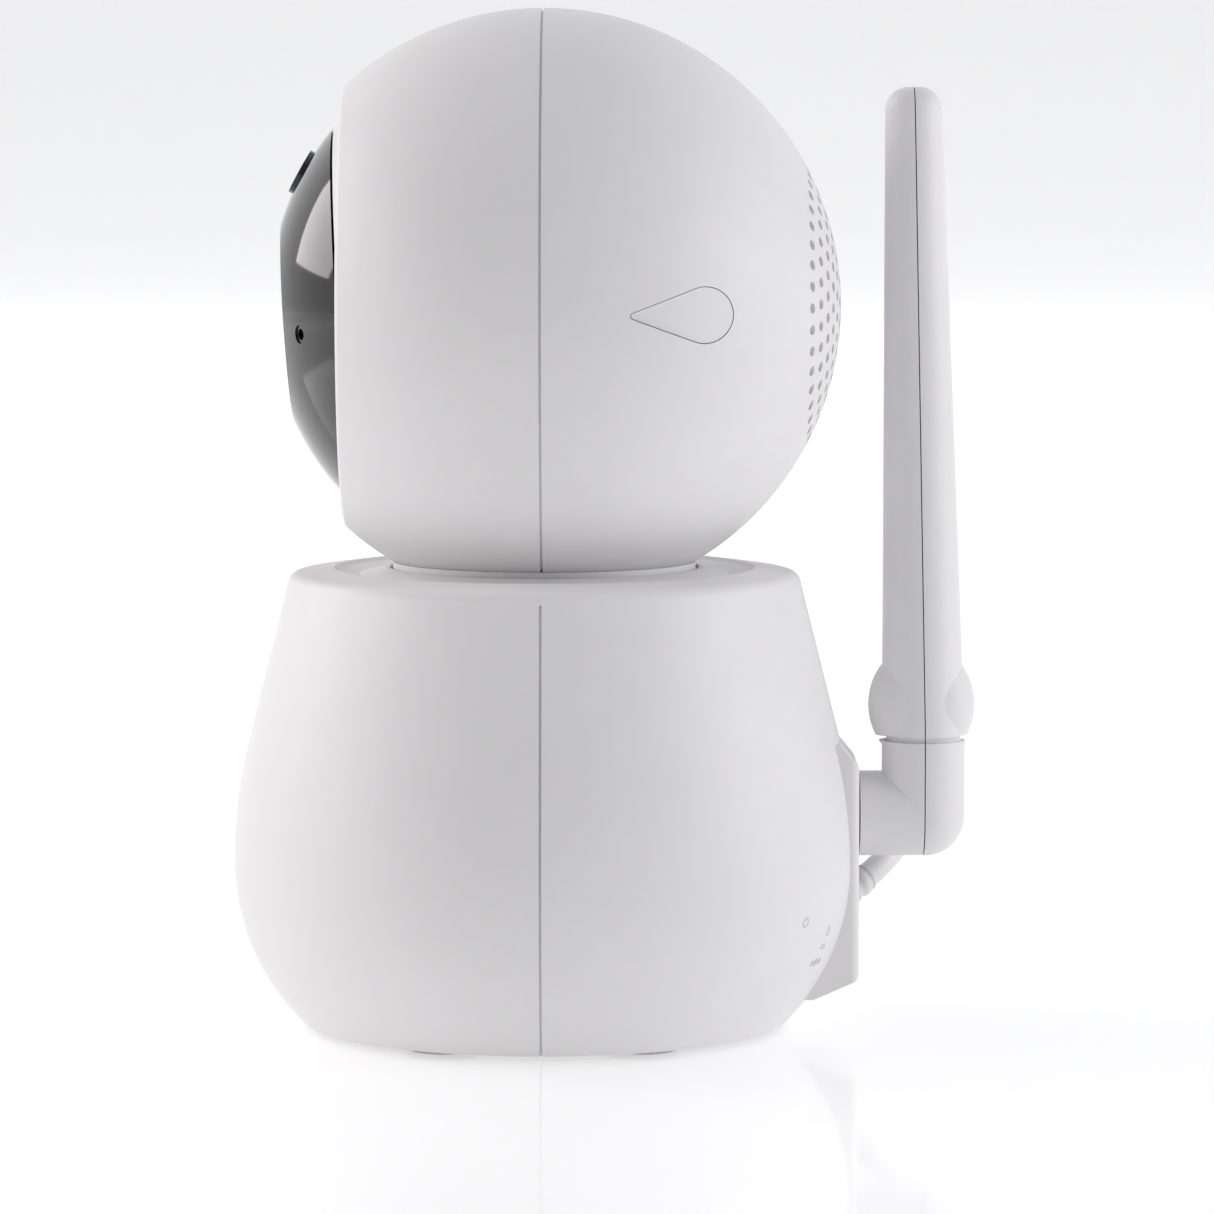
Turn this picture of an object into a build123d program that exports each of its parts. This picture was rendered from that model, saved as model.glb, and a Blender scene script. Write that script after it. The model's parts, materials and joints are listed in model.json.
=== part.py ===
from build123d import *

import math
import os

# A pan and tilt baby monitor camera, in millimetres, +Z up. The origin is on the
# surface it stands on, on the pan axis. The camera looks along -Y, and the aerial
# and the power lead are at the back, +Y. Each function below makes one piece.

# ------------------------------------------------------------ driving dimensions
# Clearances and fits
RUN_FIT = 0.05          # radial, shaft in bore
SEAT_FIT = 0.02         # radial, a piece held tight in its seat
SCREW_FIT = 0.05        # radial, screw in its hole
PART_GAP = 0.2          # between neighbouring pieces that don't touch
SEAM_WIDE = 0.35        # groove along a joint between two shells
SEAM_DEEP = 0.4
BALL_SEAM = 37.0        # degrees, turns the start line of each ball's surface clear of its details
BASE_SEAM = 63.0        # the same for the base

# Round head
HEAD_R = 41.6           # outside radius
HEAD_WALL = 2.4
OPENING_ANGLE = 47.7    # from the front axis to the edge of the front opening
OPENING_ROUND = 1.2     # outer edge of the front opening
NECK_GAP = 1.48         # between the head and the base's inner lip

# Eye: the ball inside the head that tilts
EYE_GAP = 0.6           # between head shell and eye
EYE_WALL = 2.0
EYE_DOWN = 3.5          # degrees that the eye looks down at rest
TILT_HALF_RANGE = 22.5  # degrees the face turns above and below level
FACE_ANGLE = 44.35      # from the face axis to the rim of the black face
FLAT_ANGLE = 21.6       # from the face axis to the edge of the face's flat
FACE_WALL = 1.8
FACE_SKIRT = 3.0        # how far the face reaches into the eye shell
RIM_GROOVE = 0.35
RING_FRONT = 11.8       # the carrier ring, distances ahead of the tilt axis
RING_BACK = 9.0
RING_HOLE_R = 13.0
WINDOW_R = 6.0
WINDOW_THICK = 1.2
LENS_R = 5.2
LENS_GAP = 0.5          # between lens and window
HOLDER_SIDE = 13.0      # the lens holder is square
HOLDER_LONG = 8.0
SENSOR_BOARD_AT = 15.0
SENSOR_BOARD_R = 17.0
BOARD_THICK = 1.2
STANDOFF_R = 2.2
STANDOFF_RING = 14.5
IR_BOARD_AT = 25.5
IR_BOARD_R = 18.0
IR_RING = 13.0
IR_LED_R = 1.5
IR_LED_LONG = 4.0
IR_LEDS = 8
LIGHT_SENSOR_R = 3.3
LIGHT_SENSOR_UP = 32.4  # degrees above the face axis
LIGHT_SENSOR_PROUD = 0.45
MIC_ASIDE = 29.8        # degrees to the +X side of the face axis
MIC_DOWN = 1.8
MIC_HOLE_R = 0.8
MIC_RIM_R = 1.3
MIC_R = 2.0
MIC_LONG = 1.5
MIC_GAP = 0.3           # behind the face

# Tilt drive
PIN_R = 2.0
PIN_BOSS_R = 4.0
EAR_R = 5.5
EAR_THICK = 2.5
EAR_IN = 33.0           # inner face of each ear
EAR_PLAY = 0.5          # between an ear and the head's pin boss
MODULE = 0.8
PRESSURE_ANGLE = 25.0
ADDENDUM = 0.8          # stub teeth, in modules
DEDENDUM = 1.05
BACKLASH = 0.2
SECTOR_TEETH = 30       # if it were a whole gear
SECTOR_SPARE = 16.0     # degrees of teeth past the eye's travel, each way
SECTOR_THICK = 3.0
TILT_PINION_TEETH = 10
TILT_PINION_THICK = 2.2
TILT_MESH = 45.0        # degrees up from the rear, where the tilt gears mesh
TILT_MOTOR_R = 7.5
TILT_MOTOR_LONG = 15.0
TILT_SHAFT_R = 1.0
FRAME_THICK = 2.0
FRAME_PLATE_X = -26.0   # outer face of the tilt frame's motor plate
BAR_FRONT = 19.8        # the tilt frame's crossbar
BAR_BACK = 24.2
BAR_HALF = 3.5

# Side pads, which cover the head screws
PAD_TIP_Y = 11.9
PAD_ROUND_R = 3.87
PAD_ROUND_Y = 22.0
PAD_TIP_R = 0.5
PAD_DEPTH = 1.5         # of the pad's seat, from the outside
PAD_SINK_TIP = 0.55
PAD_SINK_BACK = 0.05

# Speaker and its grille in the back of the head
HOLE_PITCH = 2.72       # between rings of holes
HOLE_RINGS = 7
HOLE_SPACING = 2.98     # along a ring
HOLE_R = 0.7
SPEAKER_R = 19.8
SPEAKER_RIM = 3.0
MAGNET_R = 8.0
SPEAKER_RIM_Y = 32.3    # front face of the speaker
GASKET_WIDE = 1.3

# Neck: the turntable under the head and its hollow spindle
NECK_R = 21.3
NECK_SIDE_GAP = 0.5     # to the base's inner lip
NECK_Z = 58.0           # underside of the turntable
SPINDLE_R = 13.0
SPINDLE_WALL = 2.5
SHOULDER = 0.8          # the spindle is this much thicker above its gear
COLLAR_R = 16.2
WIRE_HOLE_Y = 7.2
WIRE_HOLE_R = 3.0

# Pan drive
PAN_TEETH = 50
PAN_PINION_TEETH = 12
PAN_GEAR_Z = 46.0
PAN_GEAR_THICK = 4.0
CLIP_THICK = 1.0
CLIP_GROOVE = 0.8
CLIP_PROUD = 0.6        # of the stub's snap ring, past the stub
DECK_Z = 52.0
DECK_THICK = 2.5
BUSH_WALL = 2.0
BUSH_FLANGE = 2.0
BUSH_FLANGE_THICK = 1.0
PAN_MOTOR_R = 10.0
PAN_MOTOR_LONG = 14.0
PAN_SHAFT_R = 1.5
BRACKET_THICK = 1.4
MOTOR_EAR = 14.5        # from the motor's axis to each of its fixings
MOTOR_EAR_R = 3.0

# Base
BASE_R = 43.8           # widest
WAIST_Z = 23.4          # height of the widest line
BASE_LOWER_ARC = 31.7
BASE_UPPER_ARC = 68.0
BASE_TAPER = 14.05      # degrees, the straight upper side
BASE_WALL = 2.4
RIM_Z = 63.95           # outer rim of the top
RIM_ROUND = 1.6
TOP_RIDGE = (29.6, 64.75)   # radius and height of the ring edge in the top
DISH = (26.0, 63.85)        # bottom of the shallow dish
LIP_Z = 64.8                # inner lip
LIP_WIDE = 0.5
TOP_WALL = 2.1
FOOT_H = 0.7
FOOT_R = 4.5
FOOT_SEAT = 0.6         # depth of each foot's seat in the cover
FEET_RING = 27.5
FEET_ANGLE = 30.0       # from the X axis, four of them
COVER_EDGE = 2.2        # from the shell's bottom edge in to the cover
COVER_THICK = 2.4
COVER_BOSS_Z = 5.5
POST_R = 3.0
POST_TOP = 14.0
LUG_RING = 32.8
LUG_HALF = 3.4
LUG_DEEP = 6.0

# Screws, by shank radius and length
SCREW_R = 1.25
SCREW_HEAD_R = 2.2
SCREW_HEAD = 1.4
SMALL_SCREW_R = 1.0
SMALL_SCREW_HEAD_R = 1.9
SMALL_SCREW_HEAD = 1.2

# Main board
MAIN_BOARD_Z = 9.0
MAIN_BOARD_THICK = 1.6
MAIN_BOARD_R = 23.0
BOARD_TONGUE = 12.0     # half width of its rear end
BOARD_FIXINGS = (15.0, 13.0)
BOARD_POST_R = 2.5

# Pairing button in the underside
BUTTON_R = 3.0
BUTTON_Y = -20.0
BUTTON_SINK = 0.3
BUTTON_FLANGE = 1.2
BUTTON_TRAVEL = 0.5
SWITCH_SIDE = 6.0
SWITCH_HIGH = 3.4

# Rear block, its lead pocket and the power jack
BLOCK_PROUD = 0.3       # past the widest line
BLOCK_HALF = 9.3
BLOCK_BOTTOM = (4.5, 7.3)   # heights of the slope under it
BLOCK_TOP = (37.2, 40.3)    # heights of the slope over it
BLOCK_SLOPE_DEEP = (6.4, 2.6)
BLOCK_ROUND = 1.2
POCKET_HALF = 7.5
POCKET_Z = (9.6, 23.5)
POCKET_DEEP = 16.0
POCKET_WALL = 1.5
JACK_X = -3.0
JACK_HALF = 4.6
JACK_LOW = 5.2          # from its axis down to the board
JACK_UP = 5.2
JACK_LONG = 12.6
PLUG_SLEEVE_R = 2.75
PLUG_SLEEVE_LONG = 9.0
PLUG_BODY_R = 4.4

# Aerial
AERIAL_Z = 29.8         # axis it swings about
AERIAL_GAP = 0.3        # to the block
BARREL_R = 6.0
STUB_R = 4.0
STUB_LONG = 8.6
STUB_HOUSING_R = 7.0
MAST_R = 5.85
MAST_TIP_R = 3.95
MAST_BACK = 9.35        # from the block's face to the mast's centre line
MAST_CLEAR = 4.0        # least gap between the head and the mast
MAST_LEAN = 1.8         # the tip's centre is this much nearer the camera
MAST_TOP_Z = 132.0
MAST_TIP_ROUND = 3.2
COLLAR_GROOVE_Z = 40.2
COLLAR_GROOVE = 0.8
COLLAR_GROOVE_DEEP = 0.6
ELBOW_ROUND = 5.6
HALF_GAP = 0.15         # between the two halves of the aerial's casing
GRIP = (5.5, 7.5, 8.5)  # half sizes of the finger grip
GRIP_Z = 45.3
ELEMENT_R = 1.2
ELEMENT_CHANNEL_R = 1.6
ELEMENT_BEND = 1.4      # bend radius in the elbow
ELEMENT_TAIL = 1.0      # of its wire, past the stub
ELEMENT_END = 10.0      # from the mast's tip

# Power lead: its size, its route from the plug to the coil, and its coil
CORD_D = 3.6
LEAD_BEHIND = [         # Y from the rear block's face
    (-3.0, -8.1, 15.8),
    (-4.0, -2.3, 17.6),
    (-6.6, 2.7, 20.4),
    (-10.3, 6.3, 23.9),
    (-15.9, 9.0, 28.2),
    (-23.9, 10.6, 31.1),
    (-33.2, 9.9, 31.4),
    (-41.9, 6.8, 28.6),
    (-48.2, 0.8, 23.7),
]
LEAD_BESIDE = [         # X from the base's widest line
    (-7.6, 36.9, 19.2),
    (-8.8, 28.5, 16.2),
    (-9.5, 20.0, 14.2),
    (-10.2, 11.5, 13.1),
    (-10.6, 3.5, 12.7),
    (-10.8, -4.0, 12.6),
]
COIL_ASIDE = 37.0       # from the base to the coil's centre
COIL_Y = -8.5
COIL_MEAN_R = 20.8
COIL_COLUMNS = 4
COIL_LAYERS = 4
COIL_ROUND = 2.6
LEAD_END = [            # X and Y from the coil's centre
    (-13.1, -22.7, 1.8),
    (-20.9, -18.2, 1.8),
    (-27.6, -12.0, 1.9),
    (-32.0, -4.5, 3.2),
    (-33.8, 3.0, 4.0),
    (-33.8, 9.0, 4.0),
]
TIE_WIDE = 7.0
TIE_THICK = 0.8
USB_BODY = (16.0, 19.0, 8.0)
USB_SHELL = (12.0, 12.0, 4.5)
USB_RELIEF_R = 3.0
USB_RELIEF_LONG = 6.0

# --------------------------------------------------------------- worked-out sizes
INNER_R = HEAD_R - HEAD_WALL
EYE_R = INNER_R - EYE_GAP
EYE_INNER_R = EYE_R - EYE_WALL
OPENING_Y = HEAD_R * math.cos(math.radians(OPENING_ANGLE))
FACE_AT = EYE_R * math.cos(math.radians(FACE_ANGLE))
FLAT_AT = EYE_R * math.cos(math.radians(FLAT_ANGLE))
LIP_R = NECK_R + NECK_SIDE_GAP + LIP_WIDE
HEAD_Z = LIP_Z + NECK_GAP + math.sqrt(HEAD_R**2 - LIP_R**2)
WINDOW_BACK = FLAT_AT - FACE_WALL
LENS_FRONT = WINDOW_BACK - LENS_GAP
EAR_OUT = EAR_IN + EAR_THICK
PIN_END = INNER_R - PART_GAP
SECTOR_R = MODULE * SECTOR_TEETH / 2
SECTOR_HALF = TILT_HALF_RANGE + EYE_DOWN + SECTOR_SPARE
TILT_PINION_R = MODULE * TILT_PINION_TEETH / 2
SPINDLE_BORE_R = SPINDLE_R - SPINDLE_WALL
PAN_GEAR_R = MODULE * PAN_TEETH / 2
PAN_PINION_R = MODULE * PAN_PINION_TEETH / 2
PAN_CENTRES = PAN_GEAR_R + PAN_PINION_R
PAN_MOTOR_TOP = PAN_GEAR_Z - PART_GAP - BRACKET_THICK
COVER_TOP = FOOT_H + COVER_THICK
BOARD_TOP = MAIN_BOARD_Z + MAIN_BOARD_THICK
BLOCK_Y = BASE_R + BLOCK_PROUD
JACK_FACE_Y = BLOCK_Y - POCKET_DEEP
JACK_Z = BOARD_TOP + JACK_LOW
MAST_Y = max(BLOCK_Y + MAST_BACK, HEAD_R + MAST_R + MAST_CLEAR)
GROOVE_TOP = COLLAR_GROOVE_Z + COLLAR_GROOVE
ROUTE = [(x, BLOCK_Y + y, z) for x, y, z in LEAD_BEHIND]
ROUTE += [(x - BASE_R, y, z) for x, y, z in LEAD_BESIDE]
COIL_X = -BASE_R - COIL_ASIDE
TAIL = [(COIL_X + x, COIL_Y + y, z) for x, y, z in LEAD_END]
COIL_HALF = COIL_COLUMNS * CORD_D / 2
COIL_HIGH = COIL_LAYERS * CORD_D
FAR = 200.0             # past everything


# ------------------------------------------------------------------ basic shapes
def box(x, y, z):
    """A box between pairs of limits."""
    middle = [(low + high) / 2 for low, high in (x, y, z)]
    return Pos(*middle) * Box(*[high - low for low, high in (x, y, z)])


def rod(radius, start, end):
    """A cylinder from one point to another."""
    way = Vector(*end) - Vector(*start)
    whole = (Align.CENTER, Align.CENTER, Align.MIN)
    return Plane(start, z_dir=way) * Cylinder(radius, way.length, align=whole)


def pipe(outer, inner, start, end):
    return rod(outer, start, end) - rod(inner, start, end)


def ball(radius):
    """A ball about the head's centre, its poles on the front axis."""
    return Pos(0, 0, HEAD_Z) * Rot(0, BALL_SEAM, 0) * Rot(90, 0, 0) * Sphere(radius)


def group(shapes):
    """Separate solids kept as one piece's group."""
    return Compound([solid for shape in shapes for solid in shape.solids()])


def polar(radius, degrees, z=0.0):
    turn = math.radians(degrees)
    return (radius * math.cos(turn), radius * math.sin(turn), z)


def down(x, y, top, length, radius, head_r, head):
    """A screw that points down, its head standing on height top."""
    shank = rod(radius, (x, y, top - length), (x, y, top))
    return shank + rod(head_r, (x, y, top), (x, y, top + head))


def up(x, y, seat, length, radius, head_r, head):
    """A screw that points up, its head hanging under height seat."""
    shank = rod(radius, (x, y, seat), (x, y, seat + length))
    return shank + rod(head_r, (x, y, seat - head), (x, y, seat))


def circle_arc(radius, low, high):
    """An arc about the origin between two heights."""
    first, last = math.asin(low / radius), math.asin(high / radius)
    turns = (first, (first + last) / 2, last)
    return ThreePointArc(*[(radius * math.cos(t), radius * math.sin(t)) for t in turns])


def involute(angle):
    return math.tan(angle) - angle


def gear(teeth, thick, bore, first=0, last=None):
    """A spur gear on +Z with a tooth centred on +X. Teeth outside first to last are left out."""
    pitch_r = MODULE * teeth / 2
    base_r = pitch_r * math.cos(math.radians(PRESSURE_ANGLE))
    tip_r = pitch_r + ADDENDUM * MODULE
    root_r = pitch_r - DEDENDUM * MODULE
    half = math.pi / (2 * teeth) - BACKLASH / (4 * pitch_r)
    half += involute(math.radians(PRESSURE_ANGLE))
    low = max(base_r, root_r)
    flank = [low + (tip_r - low) * k / 3 for k in range(4)]
    sides = [(r, half - involute(math.acos(base_r / r))) for r in flank]
    if root_r < base_r:
        sides.insert(0, (root_r, sides[0][1]))
    last = teeth - 1 if last is None else last
    outline = []
    for k in range(teeth):
        middle = 2 * math.pi * k / teeth
        if first <= (k if k <= teeth / 2 or first >= 0 else k - teeth) <= last:
            outline += [(r, middle - a) for r, a in sides]
            outline += [(r, middle + a) for r, a in reversed(sides)]
        else:
            outline.append((root_r, middle))
    points = [(r * math.cos(a), r * math.sin(a)) for r, a in outline]
    body = extrude(make_face(Polyline(*points, close=True)), thick)
    return body - Cylinder(bore, 4 * thick)


# ------------------------------------------------------------------- the base
def base_solid(inset, top):
    """The base's round body, set in from its outside by inset, with its top through points."""
    lower_r, upper_r = BASE_LOWER_ARC - inset, BASE_UPPER_ARC - inset
    lower_x, upper_x = BASE_R - BASE_LOWER_ARC, BASE_R - BASE_UPPER_ARC
    foot = math.asin((WAIST_Z - FOOT_H) / lower_r)
    taper = math.radians(BASE_TAPER)

    def lower(turn):
        return (lower_x + lower_r * math.cos(turn), WAIST_Z - lower_r * math.sin(turn))

    def upper(turn):
        return (upper_x + upper_r * math.cos(turn), WAIST_Z + upper_r * math.sin(turn))

    shoulder = upper(taper)
    rim = (shoulder[0] - (top[0] - shoulder[1]) * math.tan(taper), top[0])
    side = [
        ThreePointArc(lower(foot), lower(foot / 2), lower(0)),
        ThreePointArc(upper(0), upper(taper / 2), shoulder),
        Polyline(shoulder, rim, *top[1], (0, FOOT_H), lower(foot)),
    ]
    section = make_face([edge for line in side for edge in line.edges()])
    if inset == 0:
        corner = section.vertices().sort_by_distance((*rim, 0))[0]
        section = fillet(corner, RIM_ROUND)
    return Rot(0, 0, BASE_SEAM) * revolve(Plane.XZ * section, Axis.Z)


def base_outside():
    lip = [(LIP_R, LIP_Z), (0, LIP_Z)]
    return base_solid(0, (RIM_Z, [TOP_RIDGE, (TOP_RIDGE[0] - 0.7, TOP_RIDGE[1] - 0.45), DISH, *lip]))


def base_inside():
    return base_solid(BASE_WALL, (DISH[1] - TOP_WALL, [(0, DISH[1] - TOP_WALL)]))


def bottom_edge_r():
    drop = WAIST_Z - FOOT_H
    return BASE_R - BASE_LOWER_ARC + math.sqrt(BASE_LOWER_ARC**2 - drop**2)


COVER_HOLE_R = bottom_edge_r() - COVER_EDGE
FEET = [polar(FEET_RING, a) for a in
        (FEET_ANGLE, 180 - FEET_ANGLE, 180 + FEET_ANGLE, -FEET_ANGLE)]
LUGS = [45.0, 135.0, 225.0, 315.0]


def base_fixings():
    """Posts for the cover and lugs for the deck, joined to the wall."""
    made = []
    for x, y, _ in FEET:
        made.append(rod(POST_R, (x, y, COVER_BOSS_Z), (x, y, POST_TOP)))
        rib = box((FEET_RING, BASE_R), (-1, 1), (COVER_BOSS_Z + 1, POST_TOP))
        made.append(Rot(0, 0, math.degrees(math.atan2(y, x))) * rib)
    for angle in LUGS:
        lug = box((LUG_RING - LUG_HALF, BASE_R), (-LUG_HALF, LUG_HALF), (DECK_Z - LUG_DEEP, DECK_Z))
        made.append(Rot(0, 0, angle) * lug)
    return made


def screw_holes():
    """Screw holes in the posts and lugs."""
    size = SCREW_R + SCREW_FIT
    holes = [rod(size, (x, y, 0), (x, y, POST_TOP - 2)) for x, y, _ in FEET]
    for angle in LUGS:
        x, y, _ = polar(LUG_RING, angle)
        size = SMALL_SCREW_R + SCREW_FIT
        holes.append(rod(size, (x, y, DECK_Z - LUG_DEEP + 1), (x, y, DECK_Z + 1)))
    return holes


def base_shell(side):
    """Half of the base's casing, the front for side -1 and the rear for +1."""
    outside, inside = base_outside(), base_inside()
    shell = outside - inside
    shell += [inner & base_solid(BASE_WALL / 2, (RIM_Z - 1, [(0, RIM_Z - 1)]))
              for inner in base_fixings()]
    shell -= rod(COVER_HOLE_R, (0, 0, -1), (0, 0, COVER_TOP + PART_GAP))
    shell -= rod(NECK_R + NECK_SIDE_GAP, (0, 0, RIM_Z - 5), (0, 0, LIP_Z + 5))
    shell -= screw_holes()
    half = (-FAR, 0) if side < 0 else (0, FAR)
    shell &= box((-FAR, FAR), half, (-FAR, FAR))
    if side < 0:
        slot = box((-FAR, FAR), (-SEAM_WIDE, 1), (-FAR, RIM_Z - RIM_ROUND))
        shell -= slot - base_solid(SEAM_DEEP, (RIM_Z - 1, [(0, RIM_Z - 1)]))
    return shell


def rear_block():
    """The flat-backed block that carries the aerial and holds the jack."""
    inner = BASE_R - 10
    low, high = BLOCK_BOTTOM, BLOCK_TOP
    outline = Polyline(
        (inner, low[0]),
        (BLOCK_Y - BLOCK_SLOPE_DEEP[0], low[0]),
        (BLOCK_Y, low[1]),
        (BLOCK_Y, high[0]),
        (BLOCK_Y - BLOCK_SLOPE_DEEP[1], high[1]),
        (inner, high[1]),
        close=True,
    )
    block = extrude(Plane.YZ * make_face(outline), BLOCK_HALF, both=True)
    edges = block.edges().filter_by(GeomType.LINE).filter_by_position(Axis.Y, BLOCK_Y - 0.01, BLOCK_Y + 0.01)
    return fillet(edges, BLOCK_ROUND)


def base_rear_shell():
    shell = base_shell(1)
    inside = base_inside()
    pocket = box((-POCKET_HALF, POCKET_HALF), (JACK_FACE_Y, BLOCK_Y + 1), POCKET_Z)
    x = POCKET_HALF + POCKET_WALL
    z = (POCKET_Z[0] - POCKET_WALL, POCKET_Z[1] + POCKET_WALL)
    walls = box((-x, x), (JACK_FACE_Y - POCKET_WALL, BLOCK_Y - 3), z)
    shell += rear_block() - inside
    shell += walls & base_solid(BASE_WALL / 2, (RIM_Z - 1, [(0, RIM_Z - 1)]))
    housing_y = BLOCK_Y - STUB_LONG + CLIP_THICK + 1
    shell += rod(STUB_HOUSING_R, (0, housing_y, AERIAL_Z), (0, BLOCK_Y - 1, AERIAL_Z))
    shell -= pocket
    shell -= box(
        (JACK_X - JACK_HALF - PART_GAP, JACK_X + JACK_HALF + PART_GAP),
        (JACK_FACE_Y - POCKET_WALL - 1, JACK_FACE_Y + 1),
        (JACK_Z - JACK_LOW - PART_GAP, JACK_Z + JACK_UP + PART_GAP),
    )
    return shell - rod(STUB_R + RUN_FIT, (0, BASE_R - 20, AERIAL_Z), (0, BLOCK_Y + 1, AERIAL_Z))


def base_cover():
    cover = rod(COVER_HOLE_R - PART_GAP, (0, 0, FOOT_H), (0, 0, COVER_TOP))
    for x, y, _ in FEET:
        cover += rod(POST_R + 0.6, (x, y, COVER_TOP), (x, y, COVER_BOSS_Z))
    for x in (-BOARD_FIXINGS[0], BOARD_FIXINGS[0]):
        for y in (-BOARD_FIXINGS[1], BOARD_FIXINGS[1]):
            cover += rod(BOARD_POST_R, (x, y, COVER_TOP - 1), (x, y, MAIN_BOARD_Z))
            cover -= rod(SMALL_SCREW_R + SCREW_FIT, (x, y, FOOT_H + 1.2), (x, y, MAIN_BOARD_Z + 1))
    for x, y, _ in FEET:
        cover -= rod(FOOT_R, (x, y, FOOT_H - 1), (x, y, FOOT_H + FOOT_SEAT))
        cover -= rod(SCREW_HEAD_R + 0.2, (x, y, FOOT_H), (x, y, cover_seat()))
        cover -= rod(SCREW_R + SCREW_FIT, (x, y, FOOT_H), (x, y, FAR))
    return cover - rod(BUTTON_R + PART_GAP, (0, BUTTON_Y, 0), (0, BUTTON_Y, COVER_TOP + 1))


def cover_seat():
    """Height of the shoulder under each cover screw's head."""
    return FOOT_H + FOOT_SEAT + SCREW_HEAD + PART_GAP


def foot_pads():
    return group([rod(FOOT_R, (x, y, 0), (x, y, FOOT_H + FOOT_SEAT)) for x, y, _ in FEET])


def cover_screws():
    seat = cover_seat()
    length = POST_TOP - 3 - seat
    return group([up(x, y, seat, length, SCREW_R, SCREW_HEAD_R, SCREW_HEAD) for x, y, _ in FEET])


def deck_r():
    """The deck fills the casing at its own height."""
    taper = math.radians(BASE_TAPER)
    top = DECK_Z + DECK_THICK
    shoulder_r = BASE_R - BASE_UPPER_ARC + BASE_UPPER_ARC * math.cos(taper)
    shoulder_z = WAIST_Z + BASE_UPPER_ARC * math.sin(taper)
    outer = shoulder_r - (top - shoulder_z) * math.tan(taper)
    return outer - BASE_WALL / math.cos(taper) - 2 * PART_GAP


def bracket_posts():
    return [(side * MOTOR_EAR, -PAN_CENTRES) for side in (-1, 1)]


def bush_r():
    return SPINDLE_R + SHOULDER + RUN_FIT + BUSH_WALL


def base_deck():
    deck = rod(deck_r(), (0, 0, DECK_Z), (0, 0, DECK_Z + DECK_THICK))
    deck -= rod(bush_r() + SEAT_FIT, (0, 0, 0), (0, 0, FAR))
    spots = [polar(LUG_RING, angle)[:2] for angle in LUGS] + bracket_posts()
    for x, y in spots:
        deck -= rod(SMALL_SCREW_R + SCREW_FIT, (x, y, 0), (x, y, FAR))
    return deck


def deck_screws():
    spots = [polar(LUG_RING, angle)[:2] for angle in LUGS] + bracket_posts()
    top = DECK_Z + DECK_THICK
    size = (SMALL_SCREW_R, SMALL_SCREW_HEAD_R, SMALL_SCREW_HEAD)
    return group([down(x, y, top, 6.0, *size) for x, y in spots])


def pan_bush():
    inner = SPINDLE_R + SHOULDER + RUN_FIT
    top = DECK_Z + DECK_THICK
    bush = pipe(bush_r(), inner, (0, 0, DECK_Z - 0.8), (0, 0, top))
    return bush + pipe(bush_r() + BUSH_FLANGE, inner, (0, 0, top), (0, 0, top + BUSH_FLANGE_THICK))


def pan_motor():
    """The can with two ears at its top, hollow for the pinion's shaft."""
    y, top = -PAN_CENTRES, PAN_MOTOR_TOP
    motor = rod(PAN_MOTOR_R, (0, y, top - PAN_MOTOR_LONG), (0, y, top))
    motor = fillet(motor.edges().sort_by(Axis.Z)[0], 0.8)
    motor += box((-MOTOR_EAR, MOTOR_EAR), (y - MOTOR_EAR_R, y + MOTOR_EAR_R), (top - 1, top))
    for x, ear_y in bracket_posts():
        motor += rod(MOTOR_EAR_R, (x, ear_y, top - 1), (x, ear_y, top))
        motor -= rod(SMALL_SCREW_R + SCREW_FIT, (x, ear_y, 0), (x, ear_y, FAR))
    return motor - rod(PAN_SHAFT_R + RUN_FIT, (0, y, top - 5), (0, y, top + 1))


def motor_bracket():
    """A strap over the motor, hung under the deck by two posts."""
    y, low = -PAN_CENTRES, PAN_MOTOR_TOP
    strap = box((-MOTOR_EAR, MOTOR_EAR), (y - MOTOR_EAR_R, y + MOTOR_EAR_R), (low, low + BRACKET_THICK))
    strap -= rod(PAN_SHAFT_R + 1, (0, y, 0), (0, y, FAR))
    for x, post_y in bracket_posts():
        strap += rod(MOTOR_EAR_R, (x, post_y, low), (x, post_y, DECK_Z))
        strap -= rod(SMALL_SCREW_R + SCREW_FIT, (x, post_y, 0), (x, post_y, FAR))
    return strap


def main_board():
    board = rod(MAIN_BOARD_R, (0, 0, MAIN_BOARD_Z), (0, 0, BOARD_TOP))
    rear = JACK_FACE_Y - POCKET_WALL - PART_GAP
    board += box((-BOARD_TONGUE, BOARD_TONGUE), (0, rear), (MAIN_BOARD_Z, BOARD_TOP))
    for x in (-BOARD_FIXINGS[0], BOARD_FIXINGS[0]):
        for y in (-BOARD_FIXINGS[1], BOARD_FIXINGS[1]):
            board -= rod(SMALL_SCREW_R + SCREW_FIT, (x, y, 0), (x, y, FAR))
    return board


def small_screws():
    """Four for the main board and two for the pan motor."""
    size = (SMALL_SCREW_R, SMALL_SCREW_HEAD_R, SMALL_SCREW_HEAD)
    made = [down(x, y, BOARD_TOP, 6.0, *size)
            for x in (-BOARD_FIXINGS[0], BOARD_FIXINGS[0])
            for y in (-BOARD_FIXINGS[1], BOARD_FIXINGS[1])]
    made += [up(x, y, PAN_MOTOR_TOP - 1, 4.0, *size) for x, y in bracket_posts()]
    return group(made)


def board_chips():
    """The processor, two smoothing capacitors, a socket and the pairing switch."""
    top = BOARD_TOP
    chips = [box((2, 13), (-12, -1), (top, top + 1.3)), box((-4, 8), (4, 9), (top, top + 4))]
    chips += [rod(2.5, (x, -16.5, top), (x, -16.5, top + 7)) for x in (-4, 3)]
    half = SWITCH_SIDE / 2
    low = MAIN_BOARD_Z - SWITCH_HIGH
    switch = box((-half, half), (BUTTON_Y - half, BUTTON_Y + half), (low, MAIN_BOARD_Z))
    return group(chips + [switch + rod(1.5, (0, BUTTON_Y, low - 0.5), (0, BUTTON_Y, low))])


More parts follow.
